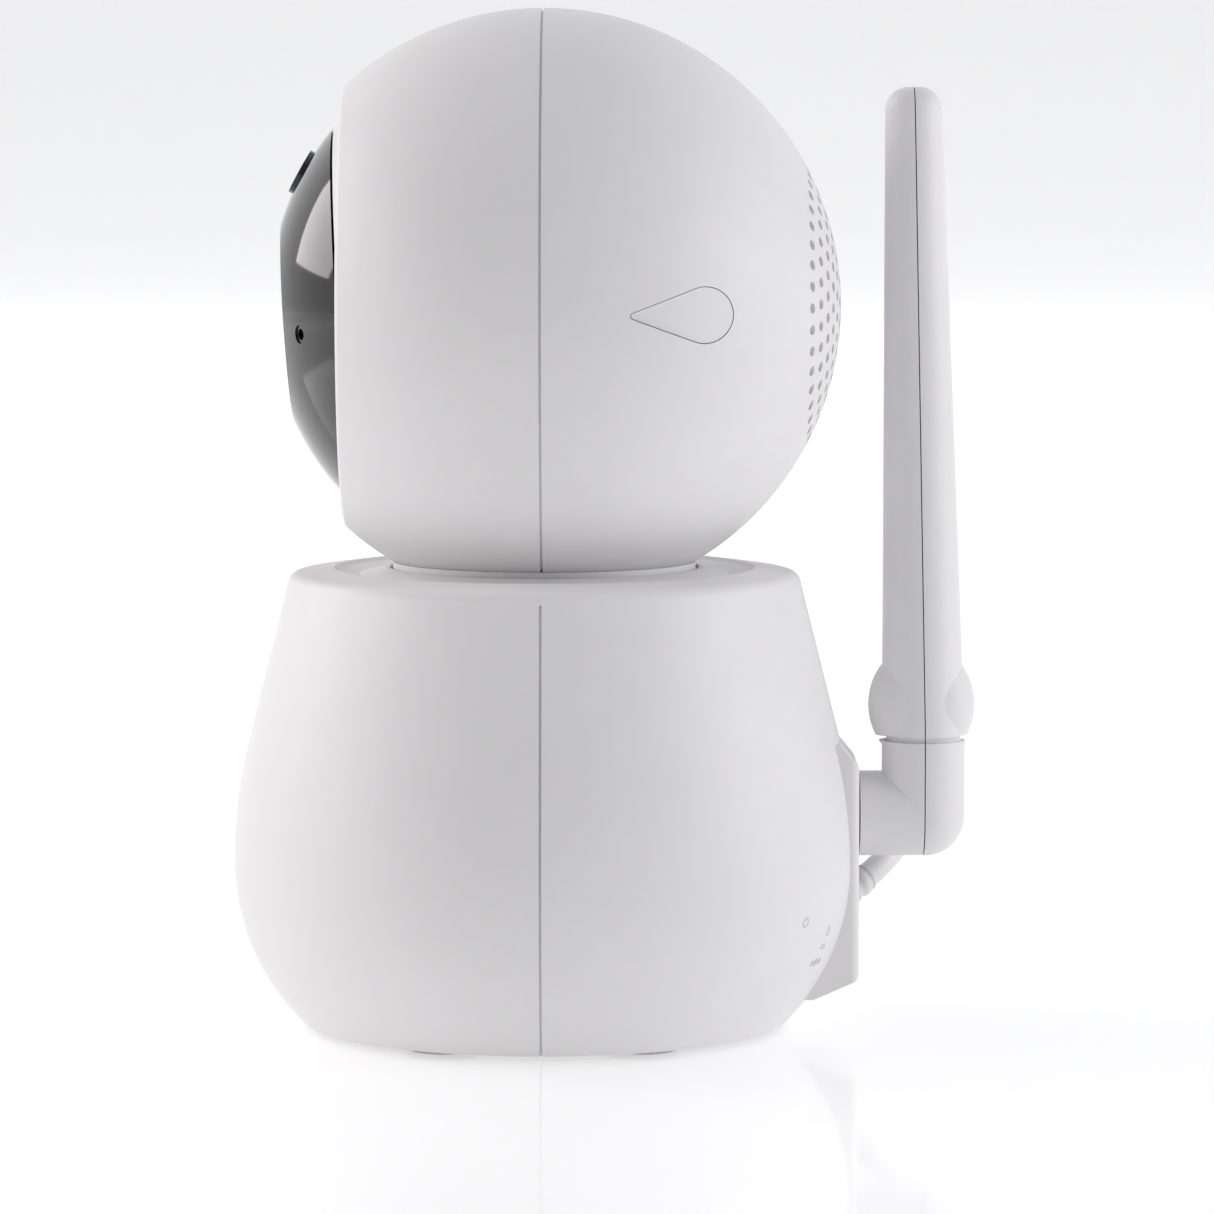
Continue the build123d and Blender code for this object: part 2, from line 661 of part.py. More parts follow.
def rf_shield():
    can = box((-12.8, -1.8), (-10.8, 2), (BOARD_TOP, BOARD_TOP + 2.4))
    return fillet(can.edges().filter_by(Axis.Z), 0.8)


def power_jack():
    """The socket for the power plug, open to the rear."""
    jack = box(
        (JACK_X - JACK_HALF, JACK_X + JACK_HALF),
        (JACK_FACE_Y - JACK_LONG, JACK_FACE_Y),
        (BOARD_TOP, JACK_Z + JACK_UP),
    )
    depth = JACK_FACE_Y - PLUG_SLEEVE_LONG - 0.6
    jack -= rod(PLUG_SLEEVE_R + SEAT_FIT, (JACK_X, depth, JACK_Z), (JACK_X, BLOCK_Y, JACK_Z))
    return jack + rod(0.65, (JACK_X, depth - 1, JACK_Z), (JACK_X, JACK_FACE_Y - 1, JACK_Z))


def pair_button():
    low = FOOT_H + BUTTON_SINK
    flange = COVER_TOP + 0.1
    top = MAIN_BOARD_Z - SWITCH_HIGH - 0.5 - BUTTON_TRAVEL - 0.1
    button = rod(BUTTON_R, (0, BUTTON_Y, low), (0, BUTTON_Y, flange))
    button += rod(BUTTON_R + BUTTON_FLANGE, (0, BUTTON_Y, flange), (0, BUTTON_Y, flange + 0.7))
    return button + rod(1.4, (0, BUTTON_Y, flange + 0.7), (0, BUTTON_Y, top))


# ------------------------------------------------------- the neck and pan drive
def sphere_z(radius, aside):
    """Height of the bottom of a ball about the head's centre, at a distance from the axis."""
    return HEAD_Z - math.sqrt(radius**2 - aside**2)


NECK_SCREW_RING = (SPINDLE_R + NECK_R) / 2 - 1.6
NECK_SCREWS = [polar(NECK_SCREW_RING, a)[:2] for a in (-90.0, 30.0, 150.0)]


def pan_neck():
    """The turntable under the head and its hollow spindle, one moulding."""
    step = PAN_GEAR_Z + PAN_GEAR_THICK
    neck = rod(NECK_R, (0, 0, NECK_Z), (0, 0, HEAD_Z - HEAD_R + 12))
    collar = DECK_Z + DECK_THICK + BUSH_FLANGE_THICK + 0.1
    neck += rod(COLLAR_R, (0, 0, collar), (0, 0, NECK_Z))
    neck += rod(SPINDLE_R + SHOULDER, (0, 0, step), (0, 0, NECK_Z))
    neck += rod(SPINDLE_R, (0, 0, PAN_GEAR_Z - 2 * CLIP_THICK - 0.4), (0, 0, step))
    neck -= pipe(SPINDLE_R + 1, SPINDLE_R - CLIP_GROOVE, (0, 0, PAN_GEAR_Z - CLIP_THICK), (0, 0, PAN_GEAR_Z))
    neck -= rod(SPINDLE_BORE_R, (0, 0, 0), (0, 0, FAR))
    neck -= ball(HEAD_R + RUN_FIT)
    for x, y in NECK_SCREWS:
        neck -= rod(SCREW_R + SCREW_FIT, (x, y, 0), (x, y, FAR))
        neck -= rod(SCREW_HEAD_R + 0.1, (x, y, 0), (x, y, NECK_Z + SCREW_HEAD))
    return neck


def neck_screws():
    tip = sphere_z(INNER_R, NECK_SCREW_RING) - 0.5
    seat = NECK_Z + SCREW_HEAD
    size = (SCREW_R, SCREW_HEAD_R, SCREW_HEAD)
    return group([up(x, y, seat, tip - seat, *size) for x, y in NECK_SCREWS])


def neck_clip():
    """A snap ring under the pan gear, with a gap to spring it on."""
    low = PAN_GEAR_Z - CLIP_THICK
    ring = pipe(SPINDLE_R + 2, SPINDLE_R - CLIP_GROOVE + SEAT_FIT, (0, 0, low), (0, 0, PAN_GEAR_Z))
    return ring - box((-3, 3), (0, FAR), (0, FAR))


def pan_gear():
    wheel = Pos(0, 0, PAN_GEAR_Z) * Rot(0, 0, -90) * gear(PAN_TEETH, PAN_GEAR_THICK, SPINDLE_R + SEAT_FIT)
    return wheel


def pan_pinion():
    """The pinion with its shaft, meshed with the pan gear in front."""
    turn = 90 + 180 / PAN_PINION_TEETH
    low = PAN_MOTOR_TOP - 4.5
    wheel = gear(PAN_PINION_TEETH, PAN_GEAR_THICK, PAN_SHAFT_R / 2)
    pinion = Pos(0, -PAN_CENTRES, PAN_GEAR_Z) * Rot(0, 0, turn) * wheel
    return pinion + rod(PAN_SHAFT_R, (0, -PAN_CENTRES, low), (0, -PAN_CENTRES, PAN_GEAR_Z + PAN_GEAR_THICK))


# -------------------------------------------------------------------- the head
def round_shell(low, high, groove=False):
    """A band of the head's shell between two distances along Y, by turning its section."""
    edges = [circle_arc(HEAD_R, low, high), circle_arc(INNER_R, low, min(high, INNER_R))]
    outer, inner = edges
    lines = [Line(outer @ 0, inner @ 0), Line(outer @ 1, inner @ 1)]
    section = make_face([edge for line in edges + lines for edge in line.edges()])
    if groove:
        corner = section.vertices().sort_by_distance(outer @ 0)[0]
        section = fillet(corner, OPENING_ROUND)
        section -= Pos(HEAD_R, 0) * Rectangle(2 * SEAM_DEEP, 2 * SEAM_WIDE)
    return Pos(0, 0, HEAD_Z) * Rot(0, BALL_SEAM, 0) * revolve(section, Axis.Y)


def pin_bosses(side):
    """Half bosses that the two shells close on the tilt pins."""
    half = (-FAR, 0) if side < 0 else (0, FAR)
    made = []
    for x in (-1, 1):
        start, end = x * (EAR_OUT + EAR_PLAY), x * (HEAD_R + 1)
        boss = rod(PIN_BOSS_R, (start, 0, HEAD_Z), (end, 0, HEAD_Z))
        made.append(boss & ball(HEAD_R - HEAD_WALL / 2) & box((-FAR, FAR), half, (-FAR, FAR)))
    return made


def pin_bores():
    return [rod(PIN_R + SEAT_FIT, (x * EAR_IN, 0, HEAD_Z), (x * PIN_END, 0, HEAD_Z)) for x in (-1, 1)]


def neck_holes():
    """Screw holes in the bottom of the head."""
    return [rod(SCREW_R + SCREW_FIT, (x, y, NECK_Z), (x, y, HEAD_Z - 20)) for x, y in NECK_SCREWS]


def head_front_shell():
    shell = round_shell(-OPENING_Y, 0, groove=True)
    shell += pin_bosses(-1)
    return shell - (pin_bores() + neck_holes())


def grille_holes():
    """Rings of holes about the rear axis."""
    holes = []
    for ring in range(HOLE_RINGS + 1):
        radius = ring * HOLE_PITCH
        count = max(1, round(2 * math.pi * radius / HOLE_SPACING))
        for k in range(count):
            x, z, _ = polar(radius, 360 * k / count + 4 * ring)
            holes.append(rod(HOLE_R, (x, INNER_R - 15, HEAD_Z + z), (x, FAR, HEAD_Z + z)))
    return holes


def pad_outline():
    """A drop shape, its tip to the front."""
    reach = PAD_ROUND_Y - PAD_TIP_Y - PAD_TIP_R
    turn = math.asin((PAD_ROUND_R - PAD_TIP_R) / reach)
    tip, middle = PAD_TIP_Y + PAD_TIP_R, PAD_ROUND_Y

    def at(centre, radius, angle):
        return (centre - radius * math.sin(angle), radius * math.cos(angle))

    upper, lower = at(tip, PAD_TIP_R, turn), at(middle, PAD_ROUND_R, turn)
    lines = [
        Line(upper, lower),
        ThreePointArc(lower, (middle + PAD_ROUND_R, 0), (lower[0], -lower[1])),
        Line((lower[0], -lower[1]), (upper[0], -upper[1])),
        ThreePointArc((upper[0], -upper[1]), (PAD_TIP_Y, 0), upper),
    ]
    return make_face([edge for line in lines for edge in line.edges()])


def pad_prism(side, shrink=0.0):
    """The pad's outline carried through the side of the head."""
    face = pad_outline()
    if shrink:
        face = offset(face, -shrink)
    prism = extrude(Plane.YZ * face, HEAD_R + 5)
    return Pos(0, 0, HEAD_Z) * (prism if side > 0 else mirror(prism, Plane.YZ))


def screw_seat_x():
    """Where each head screw's head rests, from the middle plane."""
    edge = PAD_ROUND_Y + SCREW_HEAD_R
    return math.sqrt((HEAD_R - PAD_DEPTH) ** 2 - edge**2) - SCREW_HEAD - PART_GAP


def bar_end_x():
    return screw_seat_x() - 1.7


def head_rear_shell():
    shell = round_shell(0, HEAD_R - 1e-6)
    shell += pin_bosses(1)
    y = PAD_ROUND_Y
    for side in (-1, 1):
        boss = rod(SCREW_R + 2, (side * bar_end_x(), y, HEAD_Z), (side * HEAD_R, y, HEAD_Z))
        shell += boss & ball(HEAD_R - HEAD_WALL / 2)
        shell -= pad_prism(side) - ball(HEAD_R - PAD_DEPTH)
        seat = side * screw_seat_x()
        shell -= rod(SCREW_HEAD_R + 0.1, (seat, y, HEAD_Z), (side * FAR, y, HEAD_Z))
        shell -= rod(SCREW_R + SCREW_FIT, (side * 20, y, HEAD_Z), (side * FAR, y, HEAD_Z))
    shell -= rod(WIRE_HOLE_R, (0, WIRE_HOLE_Y, NECK_Z), (0, WIRE_HOLE_Y, HEAD_Z - 20))
    return shell - (pin_bores() + neck_holes() + grille_holes())


def side_pad(side):
    """A drop-shaped cap, sunk at its tip and almost level at its rounded end."""
    tip, back = PAD_TIP_Y / HEAD_R, (PAD_ROUND_Y + PAD_ROUND_R) / HEAD_R
    shift = (PAD_SINK_TIP - PAD_SINK_BACK) / (back - tip)
    radius = HEAD_R - PAD_SINK_TIP - shift * tip
    pad = pad_prism(side, PART_GAP / 2) & (Pos(0, shift, 0) * ball(radius))
    return pad - ball(HEAD_R - PAD_DEPTH + 0.02)


def head_screws():
    made = []
    for side in (-1, 1):
        seat, y = side * screw_seat_x(), PAD_ROUND_Y
        screw = rod(SCREW_R, (seat, y, HEAD_Z), (seat - side * 8, y, HEAD_Z))
        made.append(screw + rod(SCREW_HEAD_R, (seat, y, HEAD_Z), (seat + side * SCREW_HEAD, y, HEAD_Z)))
    return group(made)


def speaker():
    """Magnet, basket and cone, turned about the rear axis."""
    front, rim_back = SPEAKER_RIM_Y, SPEAKER_RIM_Y - SPEAKER_RIM
    section = make_face(Polyline(
        (0, BAR_BACK),
        (MAGNET_R, BAR_BACK),
        (MAGNET_R, (BAR_BACK + rim_back) / 2),
        (SPEAKER_R, rim_back),
        (SPEAKER_R, front),
        (SPEAKER_R - 1.5, front),
        (MAGNET_R / 2, (rim_back + front) / 2),
        (0, (rim_back + front) / 2 + 1),
        close=True,
    ))
    return Pos(0, 0, HEAD_Z) * Rot(0, BALL_SEAM, 0) * revolve(section, Axis.Y)


def speaker_gasket():
    start, end = (0, SPEAKER_RIM_Y, HEAD_Z), (0, FAR, HEAD_Z)
    return pipe(SPEAKER_R + 0.2, SPEAKER_R + 0.2 - GASKET_WIDE, start, end) & ball(INNER_R - RUN_FIT)


def tilt_axis():
    """Where the tilt pinion and motor stand, in Y and Z."""
    y, z, _ = polar(SECTOR_R + TILT_PINION_R, TILT_MESH)
    return y, HEAD_Z + z


def tilt_frame():
    """A crossbar between the head's two sides, with a plate for the tilt motor."""
    y, z = tilt_axis()
    bar = box((-bar_end_x(), bar_end_x()), (BAR_FRONT, BAR_BACK), (HEAD_Z - BAR_HALF, HEAD_Z + BAR_HALF))
    plate_r = TILT_MOTOR_R + 1
    round_end = Pos(y, z) * Circle(plate_r)
    square_end = Pos((BAR_FRONT + BAR_BACK) / 2, HEAD_Z) * Rectangle(BAR_BACK - BAR_FRONT, 2 * BAR_HALF)
    outline = make_hull((round_end + square_end).edges())
    plate = Pos(FRAME_PLATE_X, 0, 0) * extrude(Plane.YZ * outline, FRAME_THICK)
    plate -= rod(TILT_SHAFT_R + 1, (FRAME_PLATE_X - 1, y, z), (FRAME_PLATE_X + 5, y, z))
    return bar + plate - rod(SCREW_R + SCREW_FIT, (-FAR, PAD_ROUND_Y, HEAD_Z), (FAR, PAD_ROUND_Y, HEAD_Z))


def tilt_motor():
    y, z = tilt_axis()
    start = FRAME_PLATE_X + FRAME_THICK
    motor = rod(TILT_MOTOR_R, (start, y, z), (start + TILT_MOTOR_LONG, y, z))
    motor = fillet(motor.edges().sort_by(Axis.X)[-1], 0.8)
    return motor - rod(TILT_SHAFT_R + RUN_FIT, (start - 1, y, z), (start + 4, y, z))


def tilt_pinion():
    """The pinion with its shaft, meshed with the eye's gear sector."""
    y, z = tilt_axis()
    turn = TILT_MESH + 180 + 180 / TILT_PINION_TEETH
    wheel = gear(TILT_PINION_TEETH, TILT_PINION_THICK, TILT_SHAFT_R / 2)
    start = -EAR_IN + 0.6
    pinion = Pos(start, y, z) * Plane.YZ.location * Rot(0, 0, turn) * wheel
    return pinion + rod(TILT_SHAFT_R, (start, y, z), (FRAME_PLATE_X + FRAME_THICK + 3.5, y, z))


def tilt_pins():
    return group([rod(PIN_R, (x * EAR_IN, 0, HEAD_Z), (x * (PIN_END - PART_GAP), 0, HEAD_Z))
                  for x in (-1, 1)])


# --------------------------------------------------------------------- the eye
def eye(shape):
    """Turn a piece from the eye's own frame, facing -Y about the origin, to its rest pose."""
    return Pos(0, 0, HEAD_Z) * Rot(EYE_DOWN, 0, 0) * shape


def disc(radius, back, front, x=0.0, z=0.0):
    """A cylinder on or beside the face axis, between two distances from the tilt axis."""
    return rod(radius, (x, -back, z), (x, -front, z))


def eye_ball(radius):
    return Rot(0, BALL_SEAM, 0) * Rot(90, 0, 0) * Sphere(radius)


def ahead(distance):
    """All space further ahead of the tilt axis than a distance."""
    return box((-FAR, FAR), (-FAR, -distance), (-FAR, FAR))


EYE_SCREW_RING = math.sqrt(EYE_INNER_R**2 - (RING_FRONT + 3) ** 2) - 1.6
EYE_SCREWS = [polar(EYE_SCREW_RING, a)[:2] for a in (90.0, 210.0, 330.0)]


def eye_shell():
    """The white zone round the face, with three screw bosses inside."""
    shell = (eye_ball(EYE_R) - eye_ball(EYE_INNER_R)) & ahead(RING_FRONT)
    shell -= ahead(FACE_AT)
    for x, z in EYE_SCREWS:
        boss = disc(SCREW_R + 1.4, RING_FRONT, RING_FRONT + 5, x, z)
        shell += boss & eye_ball(EYE_R - EYE_WALL / 2)
        shell -= disc(SCREW_R + SCREW_FIT, RING_FRONT - 1, RING_FRONT + 4.4, x, z)
    return eye(shell)


def eye_carrier():
    """A ring behind the eye shell, with two ears on the tilt axis and posts for the camera."""
    ring = eye_ball(EYE_R) & ahead(RING_BACK)
    ring -= ahead(RING_FRONT)
    ring -= disc(RING_HOLE_R, 0, FAR)
    for side in (-1, 1):
        x = (EAR_IN, EAR_OUT) if side > 0 else (-EAR_OUT, -EAR_IN)
        ear = box(x, (-RING_FRONT + 1, 0), (-EAR_R, EAR_R))
        ear += rod(EAR_R, (x[0], 0, 0), (x[1], 0, 0))
        ring += ear - rod(PIN_R + RUN_FIT, (x[0] - 1, 0, 0), (x[1] + 1, 0, 0))
    for angle in (45, 135, 225, 315):
        x, z, _ = polar(STANDOFF_RING + STANDOFF_R, angle)
        ring += disc(STANDOFF_R, RING_FRONT - 1, SENSOR_BOARD_AT, x * 0.85, z * 0.85)
    for angle in range(0, 360, 60):
        x, z, _ = polar((RING_HOLE_R + EYE_SCREW_RING) / 2 + 1, angle)
        ring -= disc(3.5, 0, FAR, x, z)
    for x, z in EYE_SCREWS:
        ring -= disc(SCREW_R + SCREW_FIT, 0, FAR, x, z)
    return eye(ring)


def eye_screws():
    made = []
    for x, z in EYE_SCREWS:
        shank = disc(SCREW_R, RING_BACK, RING_FRONT + 4, x, z)
        made.append(shank + disc(SCREW_HEAD_R, RING_BACK - SCREW_HEAD, RING_BACK, x, z))
    return eye(group(made))


def toward(aside, above):
    """The direction from the eye's centre that is so far beside and above the face axis."""
    a, b = math.radians(aside), math.radians(above)
    return Vector(math.sin(a) * math.cos(b), -math.cos(a) * math.cos(b), math.sin(b))


def spike(radius, way, start, end):
    """A cylinder along a direction from the eye's centre."""
    return rod(radius, tuple(way * start), tuple(way * end))


def face_cover():
    """The black front of the eye: a cap with a flat, and a skirt inside the eye shell."""
    cap = (eye_ball(EYE_R) & ahead(FACE_AT)) - ahead(FLAT_AT)
    cap -= (eye_ball(EYE_R - FACE_WALL) & ahead(FACE_AT - 1)) - ahead(WINDOW_BACK)
    cap -= disc(FAR, FACE_AT, FACE_AT + RIM_GROOVE) - eye_ball(EYE_R - RIM_GROOVE)
    skirt_r = EYE_INNER_R - PART_GAP
    skirt = (eye_ball(skirt_r) - eye_ball(skirt_r - FACE_WALL)) & ahead(FACE_AT - FACE_SKIRT)
    cap += skirt - ahead(FACE_AT + 1)
    cap += (eye_ball(EYE_R - 1) - eye_ball(skirt_r - FACE_WALL)) & ahead(FACE_AT) - ahead(FACE_AT + 1.5)
    sensor, mic = toward(0, LIGHT_SENSOR_UP), toward(MIC_ASIDE, -MIC_DOWN)
    cap -= spike(LIGHT_SENSOR_R + SEAT_FIT, sensor, EYE_R - 6, EYE_R + 5)
    cap -= spike(MIC_HOLE_R, mic, EYE_R - 6, EYE_R + 5)
    cap -= spike(MIC_RIM_R, mic, EYE_R - 0.25, EYE_R + 5)
    return eye(cap - disc(WINDOW_R + SEAT_FIT, WINDOW_BACK - 1, FAR))


def lens_window():
    return eye(disc(WINDOW_R, FLAT_AT - 0.1 - WINDOW_THICK, FLAT_AT - 0.1))


def lens_barrel():
    """The lens tube with a stepped front and its front element."""
    back = SENSOR_BOARD_AT + BOARD_THICK + HOLDER_LONG
    barrel = disc(LENS_R - 1, back - 3, back)
    barrel += disc(LENS_R, back, LENS_FRONT)
    return eye(barrel - disc(LENS_R - 1.4, LENS_FRONT - 2.2, FAR))


def lens_glass():
    """The domed front element, seated in the barrel."""
    low = LENS_FRONT - 2.2
    radius = LENS_R - 1.4 - SEAT_FIT
    dome = Pos(0, -(low + 1.6 - 12), 0) * eye_ball(12.0)
    return eye(disc(radius, low, FAR) & dome)


def lens_holder():
    half = HOLDER_SIDE / 2
    low = SENSOR_BOARD_AT + BOARD_THICK
    holder = box((-half, half), (-low - HOLDER_LONG, -low), (-half, half))
    holder = fillet(holder.edges().filter_by(Axis.Y), 1.5)
    return eye(holder - disc(LENS_R - 1 + SEAT_FIT, low + HOLDER_LONG - 3, FAR))


def sensor_board():
    return eye(disc(SENSOR_BOARD_R, SENSOR_BOARD_AT, SENSOR_BOARD_AT + BOARD_THICK))


def ir_board():
    """A ring board with legs down to the sensor board."""
    hole = disc(LENS_R + 2.4, 0, FAR)
    board = disc(IR_BOARD_R, IR_BOARD_AT, IR_BOARD_AT + BOARD_THICK) - hole
    for angle in (0, 90, 180, 270):
        x, z, _ = polar(IR_BOARD_R - 3, angle)
        board += disc(1.2, SENSOR_BOARD_AT + BOARD_THICK, IR_BOARD_AT + 0.2, x, z)
    return eye(board)


def ir_leds():
    low = IR_BOARD_AT + BOARD_THICK
    made = []
    for k in range(IR_LEDS):
        x, z, _ = polar(IR_RING, 360 * (k + 0.5) / IR_LEDS)
        led = disc(IR_LED_R, low, low + IR_LED_LONG, x, z)
        made.append(fillet(led.edges().sort_by(Axis.Y)[0], IR_LED_R * 0.85))
    return eye(group(made))


def light_sensor():
    """A small round bezel in the upper face."""
    way = toward(0, LIGHT_SENSOR_UP)
    top = EYE_R + LIGHT_SENSOR_PROUD
    button = spike(LIGHT_SENSOR_R, way, EYE_R - FACE_WALL, top)
    return eye(button - spike(LIGHT_SENSOR_R - 0.8, way, top - 0.35, top + 1))


def microphone():
    way = toward(MIC_ASIDE, -MIC_DOWN)
    top = EYE_R - FACE_WALL - MIC_GAP
    return eye(spike(MIC_R, way, top - MIC_LONG, top))


def tilt_sector():
    """The gear sector on the inner face of the left ear."""
    step = 360 / SECTOR_TEETH
    count = int(SECTOR_HALF / step)
    wheel = gear(SECTOR_TEETH, SECTOR_THICK, PIN_R + RUN_FIT, -count, count)
    edge = step * (count + 0.5)
    keep = Circle(SECTOR_R + 2) & make_face(Polyline(
        (0, 0), polar(3 * SECTOR_R, -edge)[:2], polar(3 * SECTOR_R, edge)[:2], close=True))
    wheel &= extrude(keep + Circle(EAR_R), SECTOR_THICK)
    turned = Plane.YZ.location * Rot(0, 0, TILT_MESH) * wheel
    return Pos(-EAR_IN, 0, HEAD_Z) * turned


# ------------------------------------------------------------------- the aerial
def mast_at(z):
    """Distance of the mast's centre line from the pan axis, at a height."""
    share = (z - GROOVE_TOP) / (MAST_TOP_Z - GROOVE_TOP)
    return MAST_Y - MAST_LEAN * share


def grip():
    """The rounded swelling that the fingers turn the aerial by."""
    return Pos(0, MAST_Y - 0.3, GRIP_Z) * scale(Sphere(1), GRIP)


def below(z):
    return box((-FAR, FAR), (-FAR, FAR), (-FAR, z))


def above(z):
    return box((-FAR, FAR), (-FAR, FAR), (z, FAR))


def in_front(plane_y):
    return box((-FAR, FAR), (-FAR, plane_y), (-FAR, FAR))


def behind(plane_y):
    return box((-FAR, FAR), (plane_y, FAR), (-FAR, FAR))


def elbow_channel():
    """The way through the elbow for the aerial's wire."""
    y = mast_at(GROOVE_TOP)
    way = rod(ELEMENT_CHANNEL_R, (0, BLOCK_Y - FAR, AERIAL_Z), (0, y, AERIAL_Z))
    way += Pos(0, y, AERIAL_Z) * Sphere(ELEMENT_CHANNEL_R)
    return way + rod(ELEMENT_CHANNEL_R, (0, y, AERIAL_Z), (0, y, FAR))


def antenna_elbow():
    """The barrel on the hinge stub, and the front half of the upright above it."""
    face = MAST_Y - HALF_GAP / 2
    elbow = rod(BARREL_R, (0, BLOCK_Y + AERIAL_GAP, AERIAL_Z), (0, face, AERIAL_Z))
    upright = rod(MAST_R, (0, MAST_Y, AERIAL_Z), (0, MAST_Y, COLLAR_GROOVE_Z))
    upright += rod(MAST_R - COLLAR_GROOVE_DEEP, (0, MAST_Y, AERIAL_Z), (0, MAST_Y, GROOVE_TOP))
    elbow += (upright + (grip() & below(COLLAR_GROOVE_Z))) & in_front(face)
    end = BLOCK_Y - STUB_LONG
    elbow += rod(STUB_R, (0, end, AERIAL_Z), (0, BLOCK_Y + 1, AERIAL_Z))
    low = end + 0.8
    elbow -= pipe(STUB_R + 1, STUB_R - CLIP_GROOVE, (0, low, AERIAL_Z), (0, low + CLIP_THICK, AERIAL_Z))
    return elbow - elbow_channel()


def antenna_elbow_cover():
    """The rear half of the upright, rounded under the elbow."""
    low = AERIAL_Z - BARREL_R
    half = rod(MAST_R, (0, MAST_Y, low), (0, MAST_Y, COLLAR_GROOVE_Z))
    half = fillet(half.edges().sort_by(Axis.Z)[0], ELBOW_ROUND)
    half += rod(MAST_R - COLLAR_GROOVE_DEEP, (0, MAST_Y, AERIAL_Z), (0, MAST_Y, GROOVE_TOP))
    half += grip() & below(COLLAR_GROOVE_Z)
    return (half & behind(MAST_Y + HALF_GAP / 2)) - elbow_channel()


def mast():
    """The whole tapered mast with its grip."""
    low = Plane((0, MAST_Y, GROOVE_TOP)) * Circle(MAST_R)
    high = Plane((0, MAST_Y - MAST_LEAN, MAST_TOP_Z)) * Circle(MAST_TIP_R)
    body = loft([low, high])
    body = fillet(body.edges().sort_by(Axis.Z)[-1], MAST_TIP_ROUND)
    body += grip() & above(GROOVE_TOP)
    top = MAST_TOP_Z - ELEMENT_END
    low = GROOVE_TOP - 5
    return body - rod(ELEMENT_CHANNEL_R, (0, mast_at(low), low), (0, mast_at(top), top + 1))


def mast_half(side):
    """The mast is split along its own centre line."""
    low, high = GROOVE_TOP - 5, MAST_TOP_Z + 5
    shift = side * HALF_GAP / 2
    cut = make_face(Polyline(
        (mast_at(low) + shift, low),
        (mast_at(high) + shift, high),
        (side * FAR, high),
        (side * FAR, low),
        close=True,
    ))
    return mast() & extrude(Plane.YZ * cut, FAR, both=True)


def antenna_element():
    """The aerial's rod, with a sleeve, and its wire through the hinge, as one bent rod."""
    start = (0, BLOCK_Y - STUB_LONG - ELEMENT_TAIL, AERIAL_Z)
    corner = (0, mast_at(GROOVE_TOP), AERIAL_Z)
    top = MAST_TOP_Z - ELEMENT_END
    path = FilletPolyline(start, corner, (0, mast_at(top), top), radius=ELEMENT_BEND)
    return sweep(Plane(start, z_dir=(0, 1, 0)) * Circle(ELEMENT_R), path)


def antenna_clip():
    """A snap ring on the stub, behind the block's housing."""
    low = BLOCK_Y - STUB_LONG + 0.8
    start, end = (0, low, AERIAL_Z), (0, low + CLIP_THICK - RUN_FIT, AERIAL_Z)
    ring = pipe(STUB_R + CLIP_PROUD, STUB_R - CLIP_GROOVE + SEAT_FIT, start, end)
    return ring - box((-1.5, 1.5), (0, FAR), (-FAR, AERIAL_Z))


# --------------------------------------------------------------- the power lead
def bend_radii(points):
    """Each bend is as large as its two runs allow."""
    points = [Vector(*p) for p in points]
    radii = []
    for before, here, after in zip(points, points[1:], points[2:]):
        turn = math.radians((here - before).get_angle(after - here))
        short = min((here - before).length, (after - here).length)
        radii.append(0.45 * short / math.tan(turn / 2))
    return radii


def cord_tube(points):
    """A round tube along straight runs joined by tangent arcs. It prints what it measures."""
    radii = bend_radii(points)
    path = FilletPolyline(*points, radius=radii)
    way = Vector(*points[1]) - Vector(*points[0])
    tube = sweep(Plane(points[0], z_dir=way) * Circle(CORD_D / 2), path)
    expected = math.pi * CORD_D**2 / 4 * path.length
    print("cord run", round(path.length, 1), "mm, volume over expected", round(tube.volume / expected, 4))
    print("  bend radii", [round(r, 1) for r in radii])
    return tube


def power_plug():
    """The low-voltage plug in the jack: a sleeve and a moulded body."""
    face = JACK_FACE_Y + 0.1
    plug = pipe(PLUG_SLEEVE_R, 1.05, (JACK_X, face - PLUG_SLEEVE_LONG, JACK_Z), (JACK_X, face, JACK_Z))
    body = rod(PLUG_BODY_R, (JACK_X, face, JACK_Z), (JACK_X, ROUTE[0][1], JACK_Z))
    return plug + chamfer(body.edges().sort_by(Axis.Y)[-1], 1.6)


def cord_coil():
    """The outer shape of the wound part of the lead."""
    low, high = COIL_MEAN_R - COIL_HALF, COIL_MEAN_R + COIL_HALF
    ring = pipe(high, low, (0, 0, 0), (0, 0, COIL_HIGH))
    return Pos(COIL_X, COIL_Y, 0) * fillet(ring.edges().filter_by(GeomType.CIRCLE), COIL_ROUND)


def cord_tie():
    """A band round the coil's bundle, on its front side."""
    high = COIL_HIGH + TIE_THICK
    y = (COIL_Y - COIL_MEAN_R - COIL_HALF - TIE_THICK, COIL_Y - COIL_MEAN_R + COIL_HALF + TIE_THICK)
    x = (COIL_X - TIE_WIDE / 2, COIL_X + TIE_WIDE / 2)
    band = box(x, y, (0, high))
    band = fillet(band.edges().filter_by(Axis.X), COIL_ROUND)
    hole = box(x, (y[0] + TIE_THICK, y[1] - TIE_THICK), (TIE_THICK, COIL_HIGH))
    return band - fillet(hole.edges().filter_by(Axis.X), COIL_ROUND - TIE_THICK)


def usb_frame(shape):
    """Turn a piece from its own frame, pointing along +Y from the lead's end, to where it lies."""
    before, end = (Vector(*TAIL[-2]), Vector(*TAIL[-1]))
    turn = math.degrees(math.atan2(end.Y - before.Y, end.X - before.X)) - 90
    return Pos(end.X, end.Y, USB_BODY[2] / 2) * Rot(0, 0, turn) * shape


